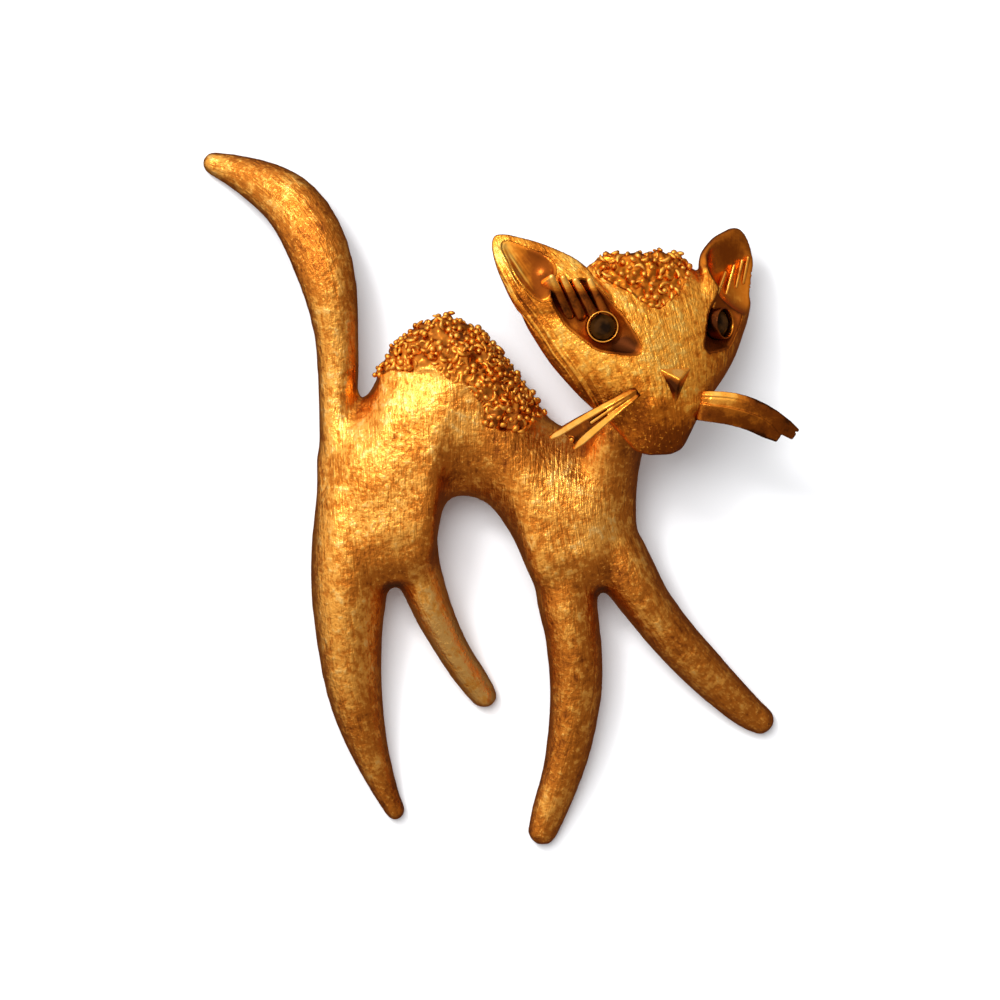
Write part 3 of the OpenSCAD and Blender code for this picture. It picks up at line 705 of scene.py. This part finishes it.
# %% [markdown]
# ## The pin bar
#
# Behind the brooch lies its fitting: a flat bar, a joint block, the stem and a catch. They are plain
# blocks with their edges eased, and a stem that tapers to a point.

# %% The pin bar
def block(bm, low, high, ease):
    """A block between two corners, its edges rounded."""
    size, middle = Vector(high) - Vector(low), (Vector(high) + Vector(low)) / 2
    place = Matrix.Translation(middle) @ Matrix.Diagonal((*size, 1))
    made = bmesh.ops.create_cube(bm, size=1, matrix=place)["verts"]
    edges = list({e for v in made for e in v.link_edges})
    bmesh.ops.bevel(bm, geom=edges, offset=ease, segments=3, profile=0.5, affect="EDGES", material=-1)


pin_x, pin_y, half_w = 0.435, 4.225, 1.2
fitting = bmesh.new()
for left, right, low, high, ease in ((-10.7, 10.1, 2.75, 3.45, 0.15), (-10.7, -8.5, 0, 3.1, 0.25),
                                     (8.5, 10.1, 0, 3.1, 0.25)):
    block(fitting, (pin_x + left, pin_y - half_w, low), (pin_x + right, pin_y + half_w, high), ease)
stem_at = Matrix.Translation((pin_x, pin_y, 1.47)) @ Matrix.Rotation(pi / 2, 4, "Y")
rod(fitting, 24, (0.4, 0.4), -9.6, 11.3, stem_at)
rod(fitting, 24, (0.4, 0.06), 11.3, 12.5, stem_at)
pin = lay_out(fitting, "pin_fitting")

# %% [markdown]
# ## Combing the surface
#
# The gilding is brushed: fine strokes run along the tail, down the legs and down the torso. A pattern
# on plain coordinates would run straight across a curved tail, so the surface gets coordinates that
# bend with it. Short strokes say which way the brush went. Between them the direction is blended, and
# then two numbers are solved for at every point: one that grows along the strokes and one that grows
# across them. They become a UV map in millimetres.

# %% Comb the surface
def comb(obj, strokes):
    """Gives a piece a UV map that runs along the brush strokes, in millimetres."""
    points = column(obj, "co")
    spots, ways = [], []
    for stroke in strokes:
        line = np.array(stroke, float)
        for p, q in zip(line, line[1:]):
            for t in (0.17, 0.5, 0.83):
                spots.append(p + (q - p) * t)
                ways.append((q - p) / np.linalg.norm(q - p))
    spots, ways = np.array(spots), np.array(ways)
    near = 1 / (np.sum((points[:, None, :2] - spots[None]) ** 2, axis=2) + 0.4) ** 2
    along = near @ ways
    along /= np.linalg.norm(along, axis=1)[:, None]
    across = np.stack([-along[:, 1], along[:, 0]], 1)
    (a, b), valence = neighbours_of(obj)
    step = points[b, :2] - points[a, :2]
    uv = []
    for way, value in ((along, points[:, 1] * -1.0), (across, points[:, 0] * 1.0)):
        rise = np.sum(step * (way[a] + way[b]) / 2, axis=1)
        goal = np.bincount(b, rise, len(points)) - np.bincount(a, rise, len(points))

        def spread(x):
            return valence * x - np.bincount(a, x[b], len(x)) - np.bincount(b, x[a], len(x))

        rest = goal - spread(value)
        search, size = rest.copy(), rest @ rest
        for _ in range(700):
            moved = spread(search)
            reach = size / (search @ moved + 1e-12)
            value = value + reach * search
            rest = rest - reach * moved
            size, before = rest @ rest, size
            if size < 1e-6:
                break
            search = rest + size / before * search
        uv.append(value)
        print(obj.name, "combed, remainder", round(float(size), 6))
    loops = np.empty(len(obj.data.loops), np.int64)
    obj.data.loops.foreach_get("vertex_index", loops)
    layer = obj.data.uv_layers.new(name="comb")
    layer.uv.foreach_set("vector", np.stack([uv[0][loops], uv[1][loops]], 1).ravel())
    return obj


def note(obj, name, values):
    """Keeps one number per point on the mesh, for the material to read."""
    obj.data.attributes.new(name, "FLOAT", "POINT").data.foreach_set("value", np.asarray(values, np.float32))


def hollows(obj, rounds):
    """How deep each point lies below the surface smoothed over its neighbourhood, in millimetres."""
    points = column(obj, "co")
    ends, valence = neighbours_of(obj)
    soft = points.copy()
    for _ in range(rounds):
        soft = soft + 0.9 * to_middle(soft, ends, valence)
    return np.sum((soft - points) * column(obj, "normal"), axis=1)


body_strokes = [
    px((203, 155), (240, 168), (285, 205), (318, 255), (333, 310), (338, 370), (342, 440)),
    px((342, 440), (345, 520), (345, 600), (355, 690), (372, 750), (400, 820)),
    px((400, 400), (400, 470), (400, 540), (418, 590), (445, 640), (488, 700)),
    px((440, 330), (445, 400), (440, 480)),
    px((500, 380), (505, 440), (510, 500)),
    px((560, 440), (560, 520), (572, 600), (575, 680), (560, 760), (540, 840)),
    px((620, 450), (615, 520), (640, 580), (680, 640), (730, 690), (772, 728)),
]
head_strokes = [
    px((500, 245), (515, 300), (550, 360), (600, 405)),
    px((560, 330), (600, 370), (650, 420)),
    px((640, 300), (655, 340), (668, 380), (668, 430)),
    px((700, 270), (695, 330), (690, 380), (680, 430)),
    px((745, 240), (742, 300), (725, 350), (700, 400)),
    px((520, 245), (560, 270), (590, 290)),
]
comb(body, body_strokes)
comb(head, head_strokes)

# %% [markdown]
# ## Notes for the finish
#
# A finish changes over a piece: it is smooth where a tool sank it, with painted shade there, and
# glossy under the nuggets. Numbers on the mesh tell the material where that is. Most are worked out
# from the shape: how deep a point lies, which tool made it, how near it is to the engraved cheek. The
# spots are listed: each is a place on the front view, a reach in millimetres and a strength, darkened
# above zero and lightened below. They paint shade and highlight where the light falls, with some wear.
# The brow ribs at the viewer's left go from painted shade at the foot to a painted highlight at the tip.

# %% Note the hollows, the carved places and the engraved cheek
def touched(obj, trees, reach=0.14):
    """1 where a point lies on the surface of one of the tools, else 0, with a soft edge."""
    values = np.array([any(tree.find_nearest(p, reach)[0] for tree in trees)
                       for p in map(Vector, column(obj, "co"))], float)
    ends, valence = neighbours_of(obj)
    for _ in range(2):
        values = values + to_middle(values, ends, valence)
    return values


def beside(obj, line, reach):
    """From 1 on a line to 0 far from it, seen from above."""
    line, points = np.array(line), column(obj, "co")[:, :2]
    spots = np.vstack([p + (q - p) * t for p, q in zip(line, line[1:]) for t in np.linspace(0, 1, 12)])
    far = np.min(np.sum((points[:, None] - spots[None]) ** 2, axis=2), axis=1)
    return np.exp(-far / reach**2)


def below_top(obj):
    """How far each point lies below one smooth surface laid through the upper side of a piece."""
    x, y, z = column(obj, "co").T
    terms = np.stack([1 + 0 * x, x, y, x * x, x * y, y * y], 1)
    upper = column(obj, "normal")[:, 2] > 0.5
    return terms @ np.linalg.lstsq(terms[upper], z[upper], rcond=None)[0] - z


cheek_line = px((508, 275), (520, 310), (540, 345), (566, 378), (590, 405))
# How deep a point lies, kept for painted shade: the finishes darken hollows and the web between the whisker
# blades.
note(body, "hollow", hollows(body, 60))
note(head, "hollow", hollows(head, 60))
for fan in whiskers.values():
    note(fan, "hollow", below_top(fan))
# Spots that paint light into the colour: shade under the belly arch, in the crotches, below the head and on
# the nose's lower facets, highlights on the haunch, the shoulder and the nose's top; some stand for wear.
body_painted_light_and_wear = [
    (368, 480, 3.0, 0.2), (362, 560, 3.0, 0.2), (255, 160, 2.6, 0.2), (300, 225, 2.6, 0.2),
    (455, 470, 2.2, 0.7), (500, 447, 2.4, 0.8), (540, 455, 1.8, 0.4), (428, 505, 1.8, 0.6),
    (428, 550, 1.8, 0.6), (396, 585, 1.8, 0.8), (606, 572, 1.8, 0.8), (575, 600, 3.2, 0.3),
    (572, 660, 3.2, 0.4), (566, 720, 3.2, 0.45), (552, 780, 3.0, 0.5), (540, 840, 2.6, 0.6),
    (645, 590, 3.0, 0.45), (690, 645, 2.8, 0.5), (735, 695, 2.8, 0.55), (775, 725, 2.2, 0.6),
    (345, 660, 3.2, 0.3), (362, 730, 3.0, 0.45), (395, 800, 2.6, 0.7), (255, 178, 2.6, 0.45),
    (290, 207, 1.6, -0.2), (310, 240, 3.4, 0.6), (332, 290, 3.2, 0.4), (342, 400, 2.4, -0.1),
    (625, 445, 3.0, 0.7), (640, 500, 2.4, 0.4), (530, 520, 3.0, 0.3), (445, 630, 1.8, -0.6),
    (472, 672, 1.8, -0.6), (458, 650, 2.2, -0.4), (488, 696, 1.2, -0.4), (470, 640, 2.6, -0.5),
    (400, 408, 1.2, -0.3), (560, 480, 1.4, -0.5)]
head_painted_light_and_wear = [
    (518, 320, 1.6, 1.0), (530, 350, 1.6, 0.8), (550, 378, 1.8, 0.8), (580, 402, 1.8, 0.8),
    (552, 300, 1.4, 0.6), (537, 256, 1.3, 0.6), (545, 285, 1.2, 0.7), (503, 248, 0.5, -1.0),
    (510, 260, 0.6, -1.2), (518, 273, 0.6, -1.2), (525, 283, 0.5, -0.9), (552, 298, 0.8, -0.9),
    (566, 338, 1.3, -0.6), (618, 425, 2.0, 0.9), (655, 447, 2.2, 1.0), (690, 437, 2.0, 0.6),
    (640, 405, 1.3, 0.6), (715, 365, 1.9, 0.4), (735, 330, 1.6, 0.3), (704, 400, 1.7, 0.4),
    (626, 347, 1.0, 1.5), (614, 350, 0.7, 0.6), (540, 264, 1.5, 0.3), (522, 300, 1.2, 0.3),
    (675, 445, 2.0, 0.4), (700, 330, 1.2, 0.3), (728, 255, 1.8, 0.7), (655, 340, 3.4, -0.35),
    (560, 362, 1.8, 0.3), (590, 385, 1.8, 0.3), (615, 385, 2.6, 0.15), (690, 350, 1.8, 0.2),
    (610, 372, 2.6, -0.2), (668, 408, 1.2, 0.4)]
brow_painted_light_and_wear = [(668, 387, 0.8, 2.6), (682, 391, 0.6, 1.4), (676, 374, 0.45, -1.6), (712, 306, 0.8, 0.6)]
left_fan_painted_light_and_wear = [
    (560, 436, 0.8, -0.6), (578, 427, 0.8, -0.5), (596, 415, 0.7, -0.3), (586, 446, 0.8, -0.6),
    (604, 433, 0.7, -0.4), (622, 404, 1.0, 0.4), (636, 397, 0.8, 0.6), (574, 439, 0.35, 0.5)]
right_fan_painted_light_and_wear = [
    (714, 392, 0.5, -0.7), (730, 395, 0.5, -0.5), (712, 402, 0.45, -0.6), (706, 414, 0.9, 0.8),
    (724, 421, 0.9, 0.7), (742, 426, 0.9, 0.6), (760, 431, 0.9, 0.7), (778, 436, 1.0, 0.8),
    (795, 432, 1.0, 1.0), (748, 404, 0.8, 0.6), (765, 412, 0.9, 0.7), (758, 399, 0.6, 0.8),
    (775, 404, 0.7, 1.0), (788, 414, 0.8, 1.3)]

# Painted shade and highlight on the brow ribs at the viewer's left: dark at the foot in the recess, pale at
# the tip.
x, y = column(brow, "co")[:, :2].T
(rib_side, rib_foot), (_, rib_top) = px((650, 296), (650, 286))
rib_painted_shade = np.interp(y, [rib_foot, rib_top], [1.35, -0.5]) * (x < rib_side)
# The right eye cup gets painted shade in its pocket and the whole right fan a base of painted shade; the left
# brow ribs start from their own painted shade and highlight.
for obj, places, base in ((body, body_painted_light_and_wear, 0), (head, head_painted_light_and_wear, 0), (brow, brow_painted_light_and_wear, rib_painted_shade),
                          (cups["eye_cup_right"], [(711, 322, 1.7, 2.0)], 0),
                          (whiskers["whisker_left"], left_fan_painted_light_and_wear, 0),
                          (whiskers["whisker_right"], right_fan_painted_light_and_wear, 0.3)):
    note(obj, "painted_light_and_wear", base + spots(obj, *places))
note(body, "nuggeted", hump_patch)
note(head, "nuggeted", crown_patch)
x, y = column(head, "co")[:, :2].T
# The ear scoops, the outer edge of the ear at the viewer's right and the eye recesses are smooth, and the
# finish darkens them with painted shade.
right_ear = np.clip((x - 16.3) / 0.6, 0, 1) * np.clip((y - 18.9) / 0.8, 0, 1)
note(head, "scoop", np.maximum(touched(head, carved_by["scoop"]), right_ear))
note(head, "recess", touched(head, carved_by["recess"]))
note(head, "cheek", beside(head, cheek_line, 1.2))

# %% [markdown]
# ## Wiring a material in Python
#
# A material is a tree of nodes. `Wire` wraps one output of a node, so that sums on it read as Python
# and add their own Math nodes, and `Finish` adds any other node in one call.

# %% Wires and finishes
class Wire:
    """One output socket, with arithmetic."""

    def __init__(self, finish, socket):
        self.finish, self.socket = finish, socket

    def maths(self, operation, *values):
        return self.finish.node("ShaderNodeMath", {"operation": operation}, dict(enumerate(values)))

    def __add__(self, other): return self.maths("ADD", self, other)
    def __radd__(self, other): return self.maths("ADD", other, self)
    def __sub__(self, other): return self.maths("SUBTRACT", self, other)
    def __rsub__(self, other): return self.maths("SUBTRACT", other, self)
    def __mul__(self, other): return self.maths("MULTIPLY", self, other)
    def __rmul__(self, other): return self.maths("MULTIPLY", other, self)

    def ease(self, low, high):
        """From 0 to 1 as the value goes from low to high, with soft ends."""
        return self.finish.node("ShaderNodeMapRange", {"interpolation_type": "SMOOTHSTEP"},
                                {"Value": self, "From Min": low, "From Max": high})


class Finish:
    """The nodes of a material, or of the world, and the one way to add to them."""

    def __init__(self, owner):
        self.owner = owner
        owner.use_nodes = True
        self.tree = owner.node_tree
        self.tree.nodes.clear()

    def node(self, kind, settings=None, sockets=None, output=0):
        new = self.tree.nodes.new(kind)
        for key, value in (settings or {}).items():
            setattr(new, key, value)
        for key, value in (sockets or {}).items():
            if isinstance(value, Wire):
                self.tree.links.new(value.socket, new.inputs[key])
            else:
                new.inputs[key].default_value = value
        return Wire(self, new.outputs[output]) if len(new.outputs) else None

    def note(self, name):
        return self.node("ShaderNodeAttribute", {"attribute_name": name}, output=2)

    def noise(self, where, scale, detail=3.0, roughness=0.55, stretch=(1, 1, 1)):
        vector = self.node("ShaderNodeMapping", {}, {"Vector": where,
                                                     "Scale": tuple(scale * s for s in stretch)})
        return self.node("ShaderNodeTexNoise", {}, {"Vector": vector, "Scale": 1.0, "Detail": detail,
                                                    "Roughness": roughness})

    def mix(self, share, a, b, kind="MIX"):
        return self.node("ShaderNodeMix", {"data_type": "RGBA", "blend_type": kind, "clamp_factor": True,
                                           "clamp_result": False}, {0: share, 6: a, 7: b}, output=2)

    def surface(self, sockets):
        """Closes the material with one Principled shader, and hands it over."""
        shader = self.node("ShaderNodeBsdfPrincipled", {}, sockets)
        self.node("ShaderNodeOutputMaterial", {}, {"Surface": shader})
        return self.owner


def new_finish(name):
    """An empty material to wire, and its coordinates in millimetres."""
    f = Finish(bpy.data.materials.new(name))
    spot = f.node("ShaderNodeTexCoord", output=3)
    return f, f.node("ShaderNodeVectorMath", {"operation": "SCALE"}, {0: spot, "Scale": 1000.0})


# %% [markdown]
# ## The brushed gilding
#
# Gold plate over a brushed casting: hair-fine strokes and a stipple of bright flecks where the high
# spots are worn. Strokes, hair and broader streaks read the combed map, so they run with the limbs.
# Flecks, lumps and slow changes read plain object coordinates. One number, the tone, adds them up and
# chooses the colour. Where the noted spots paint light and shade, with some wear, the pattern is
# calmer, with single bright flecks. Steep flanks show less of it and get a little painted shade, and
# hollows, eye recesses, ear scoops and the ground under the nuggets are darkened with painted shade.
# The cheek carries long engraved lines. Body and face share the finish, each with a faint tint. All of
# it is metal, so the pattern sits in the colour, the roughness and a Bump.

# %% Brushed gilt
# The palest colour is worn gold and painted highlight; the darkest is painted shade.
WEAR_AND_HIGHLIGHT, GOLD, AMBER = (1.0, 0.56, 0.135, 1), (0.95, 0.42, 0.06, 1), (0.62, 0.19, 0.018, 1)
BROWN, PAINTED_SHADE = (0.27, 0.065, 0.008, 1), (0.07, 0.018, 0.005, 1)


def gilding(f, tone):
    """From tone to colour: painted shade and brown in the depths, amber, gold, and worn pale with painted
    highlight on the heights.
    """
    colour = f.mix(tone.ease(-0.4, 0.0), PAINTED_SHADE, BROWN)
    colour = f.mix(tone.ease(0.0, 0.35), colour, AMBER)
    colour = f.mix(tone.ease(0.35, 0.65), colour, GOLD)
    return f.mix(tone.ease(0.65, 1.0), colour, WEAR_AND_HIGHLIGHT)


def brushed(name, depth, tint):
    """Combed strokes, flecks and patchy tone; the mesh's own notes say where it is smooth, and where shade and
    light are painted in.
    """
    f, spot = new_finish(name)
    way = f.node("ShaderNodeUVMap", {"uv_map": "comb"})
    deep, nuggeted, scoop, recess, cheek, painted_light_and_wear = (
        f.note(n) for n in ("hollow", "nuggeted", "scoop", "recess", "cheek", "painted_light_and_wear"))
    up = f.node("ShaderNodeSeparateXYZ", {}, {0: f.node("ShaderNodeNewGeometry", output=1)}, output=2)
    strokes = f.noise(way, 1.0, 2.0, 0.55, (0.8, 4.5, 1))
    hair = f.noise(way, 1.0, 1.0, 0.5, (1.4, 9.0, 1))
    fleck = f.noise(spot, 3.6, 3.0, 0.6)
    lump = f.noise(spot, 1.7, 2.0, 0.55)
    patch = f.noise(spot, 0.8, 3.0, 0.6)
    cloud = f.noise(spot, 0.22, 2.0, 0.5)
    smooth = (nuggeted + scoop + recess).ease(0.2, 0.8)
    engraved = f.noise(way, 1.0, 0.0, 0.5, (0.12, 4.5, 1))
    streak = f.noise(way, 1.0, 2.0, 0.5, (0.6, 1.9, 1))
    flank = (0.55 - up).ease(0, 0.3)

    mottle = (strokes * 0.45 + hair * 0.2 + fleck * 0.5 + lump * 0.8 + streak * 0.6 + patch * 0.7
              + cloud * 0.8 - 2.02)
    # The noted spots darken or lighten the tone: painted shade and highlight, with some wear.
    tone = 0.6 + mottle * (1 - smooth * 0.6) * (1 - flank * 0.6) * (1 - painted_light_and_wear * 0.5) - 0.5 * painted_light_and_wear
    # Painted shade: the ground between the nuggets and the ear scoops are darker.
    tone = tone - 0.35 * nuggeted - 0.25 * scoop
    # Painted shade: the eye recesses, the hollows and the steep flanks are darker.
    tone = tone - 0.6 * recess - 0.4 * deep.ease(0.02, 0.30) - 0.08 * flank
    tone = tone + 0.25 * (lump * patch).ease(0.29, 0.38) * (1 - smooth) * (1 - flank) * (1 - painted_light_and_wear)
    tone = tone + 0.45 * (fleck - 0.60).ease(0, 0.06) * (1 - smooth) * painted_light_and_wear
    tone = tone + cheek * ((engraved - 0.56).ease(0, 0.06) * 0.55 - 0.2)
    colour = f.mix(1.0, gilding(f, tone), tint, "MULTIPLY")

    rough = 0.27 + 0.12 * patch + 0.08 * painted_light_and_wear
    rough = rough * (1 - smooth) + smooth * (0.28 + 0.2 * recess)
    relief = strokes * 0.7 + hair * 0.15 + fleck * 0.6 + lump * 0.9
    relief = relief * (1 - smooth) * (1 - flank * 0.8) + engraved * cheek * 2.0
    bump = f.node("ShaderNodeBump", {}, {"Strength": 1.0, "Distance": depth, "Height": relief})
    return f.surface({"Base Color": colour, "Metallic": 1.0, "Roughness": rough, "Normal": bump})


body_gilt = brushed("body_gilt", 0.0001, (0.97, 1.0, 1.25, 1))
face_gilt = brushed("face_gilt", 0.00011, (1.08, 1.03, 0.92, 1))

# %% [markdown]
# ## The smooth gilding
#
# Nuggets, brows, whiskers, cups and the pin are smooth. They share one simple finish: gold over a
# little cloudy patina, glossier or duller as each needs. It reads the noted spots of painted light and
# wear and how deep a point lies, which it darkens with painted shade. Where a piece has none of these
# notes they count as zero.

# %% Smooth gilt
def smooth_gilt(name, tone, change, gloss, depth):
    """A smooth gilding of about one tone, with clouds of change; the noted spots paint shade and highlight,
    and hollows get painted shade.
    """
    f, spot = new_finish(name)
    cloud = f.noise(spot, 1.0, 3.0, 0.6)
    grain = f.noise(spot, 5.0, 2.0, 0.5)
    tone = tone + (cloud + 0.4 * grain - 0.7) * change
    # Painted shade and highlight from the noted spots, and painted shade in hollows.
    tone = tone - 0.55 * f.note("painted_light_and_wear") - 0.9 * f.note("hollow").ease(0.02, 0.2)
    bump = f.node("ShaderNodeBump", {}, {"Strength": 1.0, "Distance": depth, "Height": grain})
    return f.surface({"Base Color": gilding(f, tone), "Metallic": 1.0,
                      "Roughness": gloss + 0.1 * cloud, "Normal": bump})


nugget_gilt = smooth_gilt("nugget_gilt", 0.65, 1.5, 0.36, 0.00003)
polished_gilt = smooth_gilt("polished_gilt", 0.6, 0.9, 0.2, 0.00001)
plain_gilt = smooth_gilt("plain_gilt", 0.5, 0.5, 0.35, 0.00002)

# %% [markdown]
# ## Smoky stones
#
# The stones are glass of a grey-brown smoke, dark in their cups.

# %% Smoky glass
f = Finish(bpy.data.materials.new("smoky_glass"))
spot = f.node("ShaderNodeTexCoord", output=3)
cloud = f.noise(spot, 900, 2.0)
smoke = f.mix(cloud.ease(0.35, 0.65), (0.008, 0.003, 0.001, 1), (0.045, 0.016, 0.003, 1))
smoky_glass = f.surface({"Base Color": smoke, "Roughness": 0.08 + 0.06 * cloud, "IOR": 1.45,
                         "Specular IOR Level": 0.05})
for name in ("eye_stone_left", "eye_stone_right"):
    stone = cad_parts[name]
    stone.data.materials.clear()
    stone.data.materials.append(smoky_glass)

# %% [markdown]
# ## Putting the brooch together
#
# Each finished mesh takes the place of its CAD solid. The brows, the hump nuggets and the crown
# nuggets replace nothing: they sit on their casting and ride with it.

# %% Put every piece away
put_away(body, body_gilt, ["body"])
put_away(head, face_gilt, ["head"])
put_away(brow, polished_gilt)
put_away(hump, nugget_gilt)
put_away(crown, nugget_gilt)
for name, fan in whiskers.items():
    put_away(fan, polished_gilt, [name])
for name, cup in cups.items():
    put_away(cup, polished_gilt, [name])
put_away(pin, plain_gilt, ["pin_bar"])

# %% [markdown]
# ## Table, light and camera
#
# The brooch lies on a pale table under soft light. Metal shows what stands round it, so the world
# matters as much as the lamps. It is made like a photographer's cloth tent, brighter at the upper
# left, darker and browner low down. One small lamp gives the glints, and a wide one lights the table.

# %% Table, light and camera
scene = bpy.context.scene
scene.view_settings.view_transform = "Standard"

table = bmesh.new()
bmesh.ops.create_grid(table, x_segments=1, y_segments=1, size=2)
floor = lay_out(table, "table_top")
f = Finish(bpy.data.materials.new("pale_table"))
floor.data.materials.append(f.surface({"Base Color": (0.89, 0.90, 0.92, 1), "Roughness": 0.8}))
floor.visible_glossy = False


def lamp(name, place, size, watts):
    """A round lamp that looks at the brooch."""
    light = bpy.data.lights.new(name, "AREA")
    light.shape = "DISK"
    light.size = size
    light.energy = watts
    obj = bpy.data.objects.new(name, light)
    scene.collection.objects.link(obj)
    obj.location = place
    obj.rotation_euler = Vector(place).to_track_quat("Z", "Y").to_euler()
    return obj


lamp("key", (-0.35, 0.45, 0.8), 0.2, 3.0)
lamp("table_light", (-0.25, 0.35, 1.3), 0.8, 14.0).visible_glossy = False

world = bpy.data.worlds.new("studio")
scene.world = world
tent = Finish(world)
way = tent.node("ShaderNodeTexCoord")
height = tent.node("ShaderNodeSeparateXYZ", {}, {0: way}, output=2)
upper_left = (-0.62, 0.58, 0.52)
lean = tent.node("ShaderNodeVectorMath", {"operation": "DOT_PRODUCT"}, {0: way, 1: upper_left}, output=1)
cloth = tent.mix(height.ease(-0.95, 0.25), (0.22, 0.11, 0.05, 1), (0.80, 0.77, 0.72, 1))
glow = tent.mix(lean.ease(-0.1, 0.95), (0.46, 0.41, 0.36, 1), (1.55, 1.52, 1.46, 1))
cloth = tent.mix(1.0, cloth, glow, "MULTIPLY")
# dull surfaces get even light, and the camera sees a plain pale ground past the table
cloth = tent.mix(tent.node("ShaderNodeLightPath", output=2), cloth, (0.6, 0.6, 0.6, 1))
cloth = tent.mix(tent.node("ShaderNodeLightPath"), cloth, (0.93, 0.93, 0.93, 1))
tent.node("ShaderNodeOutputWorld", {}, {0: tent.node("ShaderNodeBackground", {}, {"Color": cloth})})

camera_height, middle_height, picture_width = 0.9, 0.006, 1 / 12
lens = bpy.data.cameras.new("camera")
lens.lens = lens.sensor_width * (camera_height - middle_height) / picture_width
lens.clip_start, lens.clip_end = 0.01, 20
camera = bpy.data.objects.new("camera", lens)
scene.collection.objects.link(camera)
camera.location = (0, -picture_width / 1000, camera_height)
scene.camera = camera
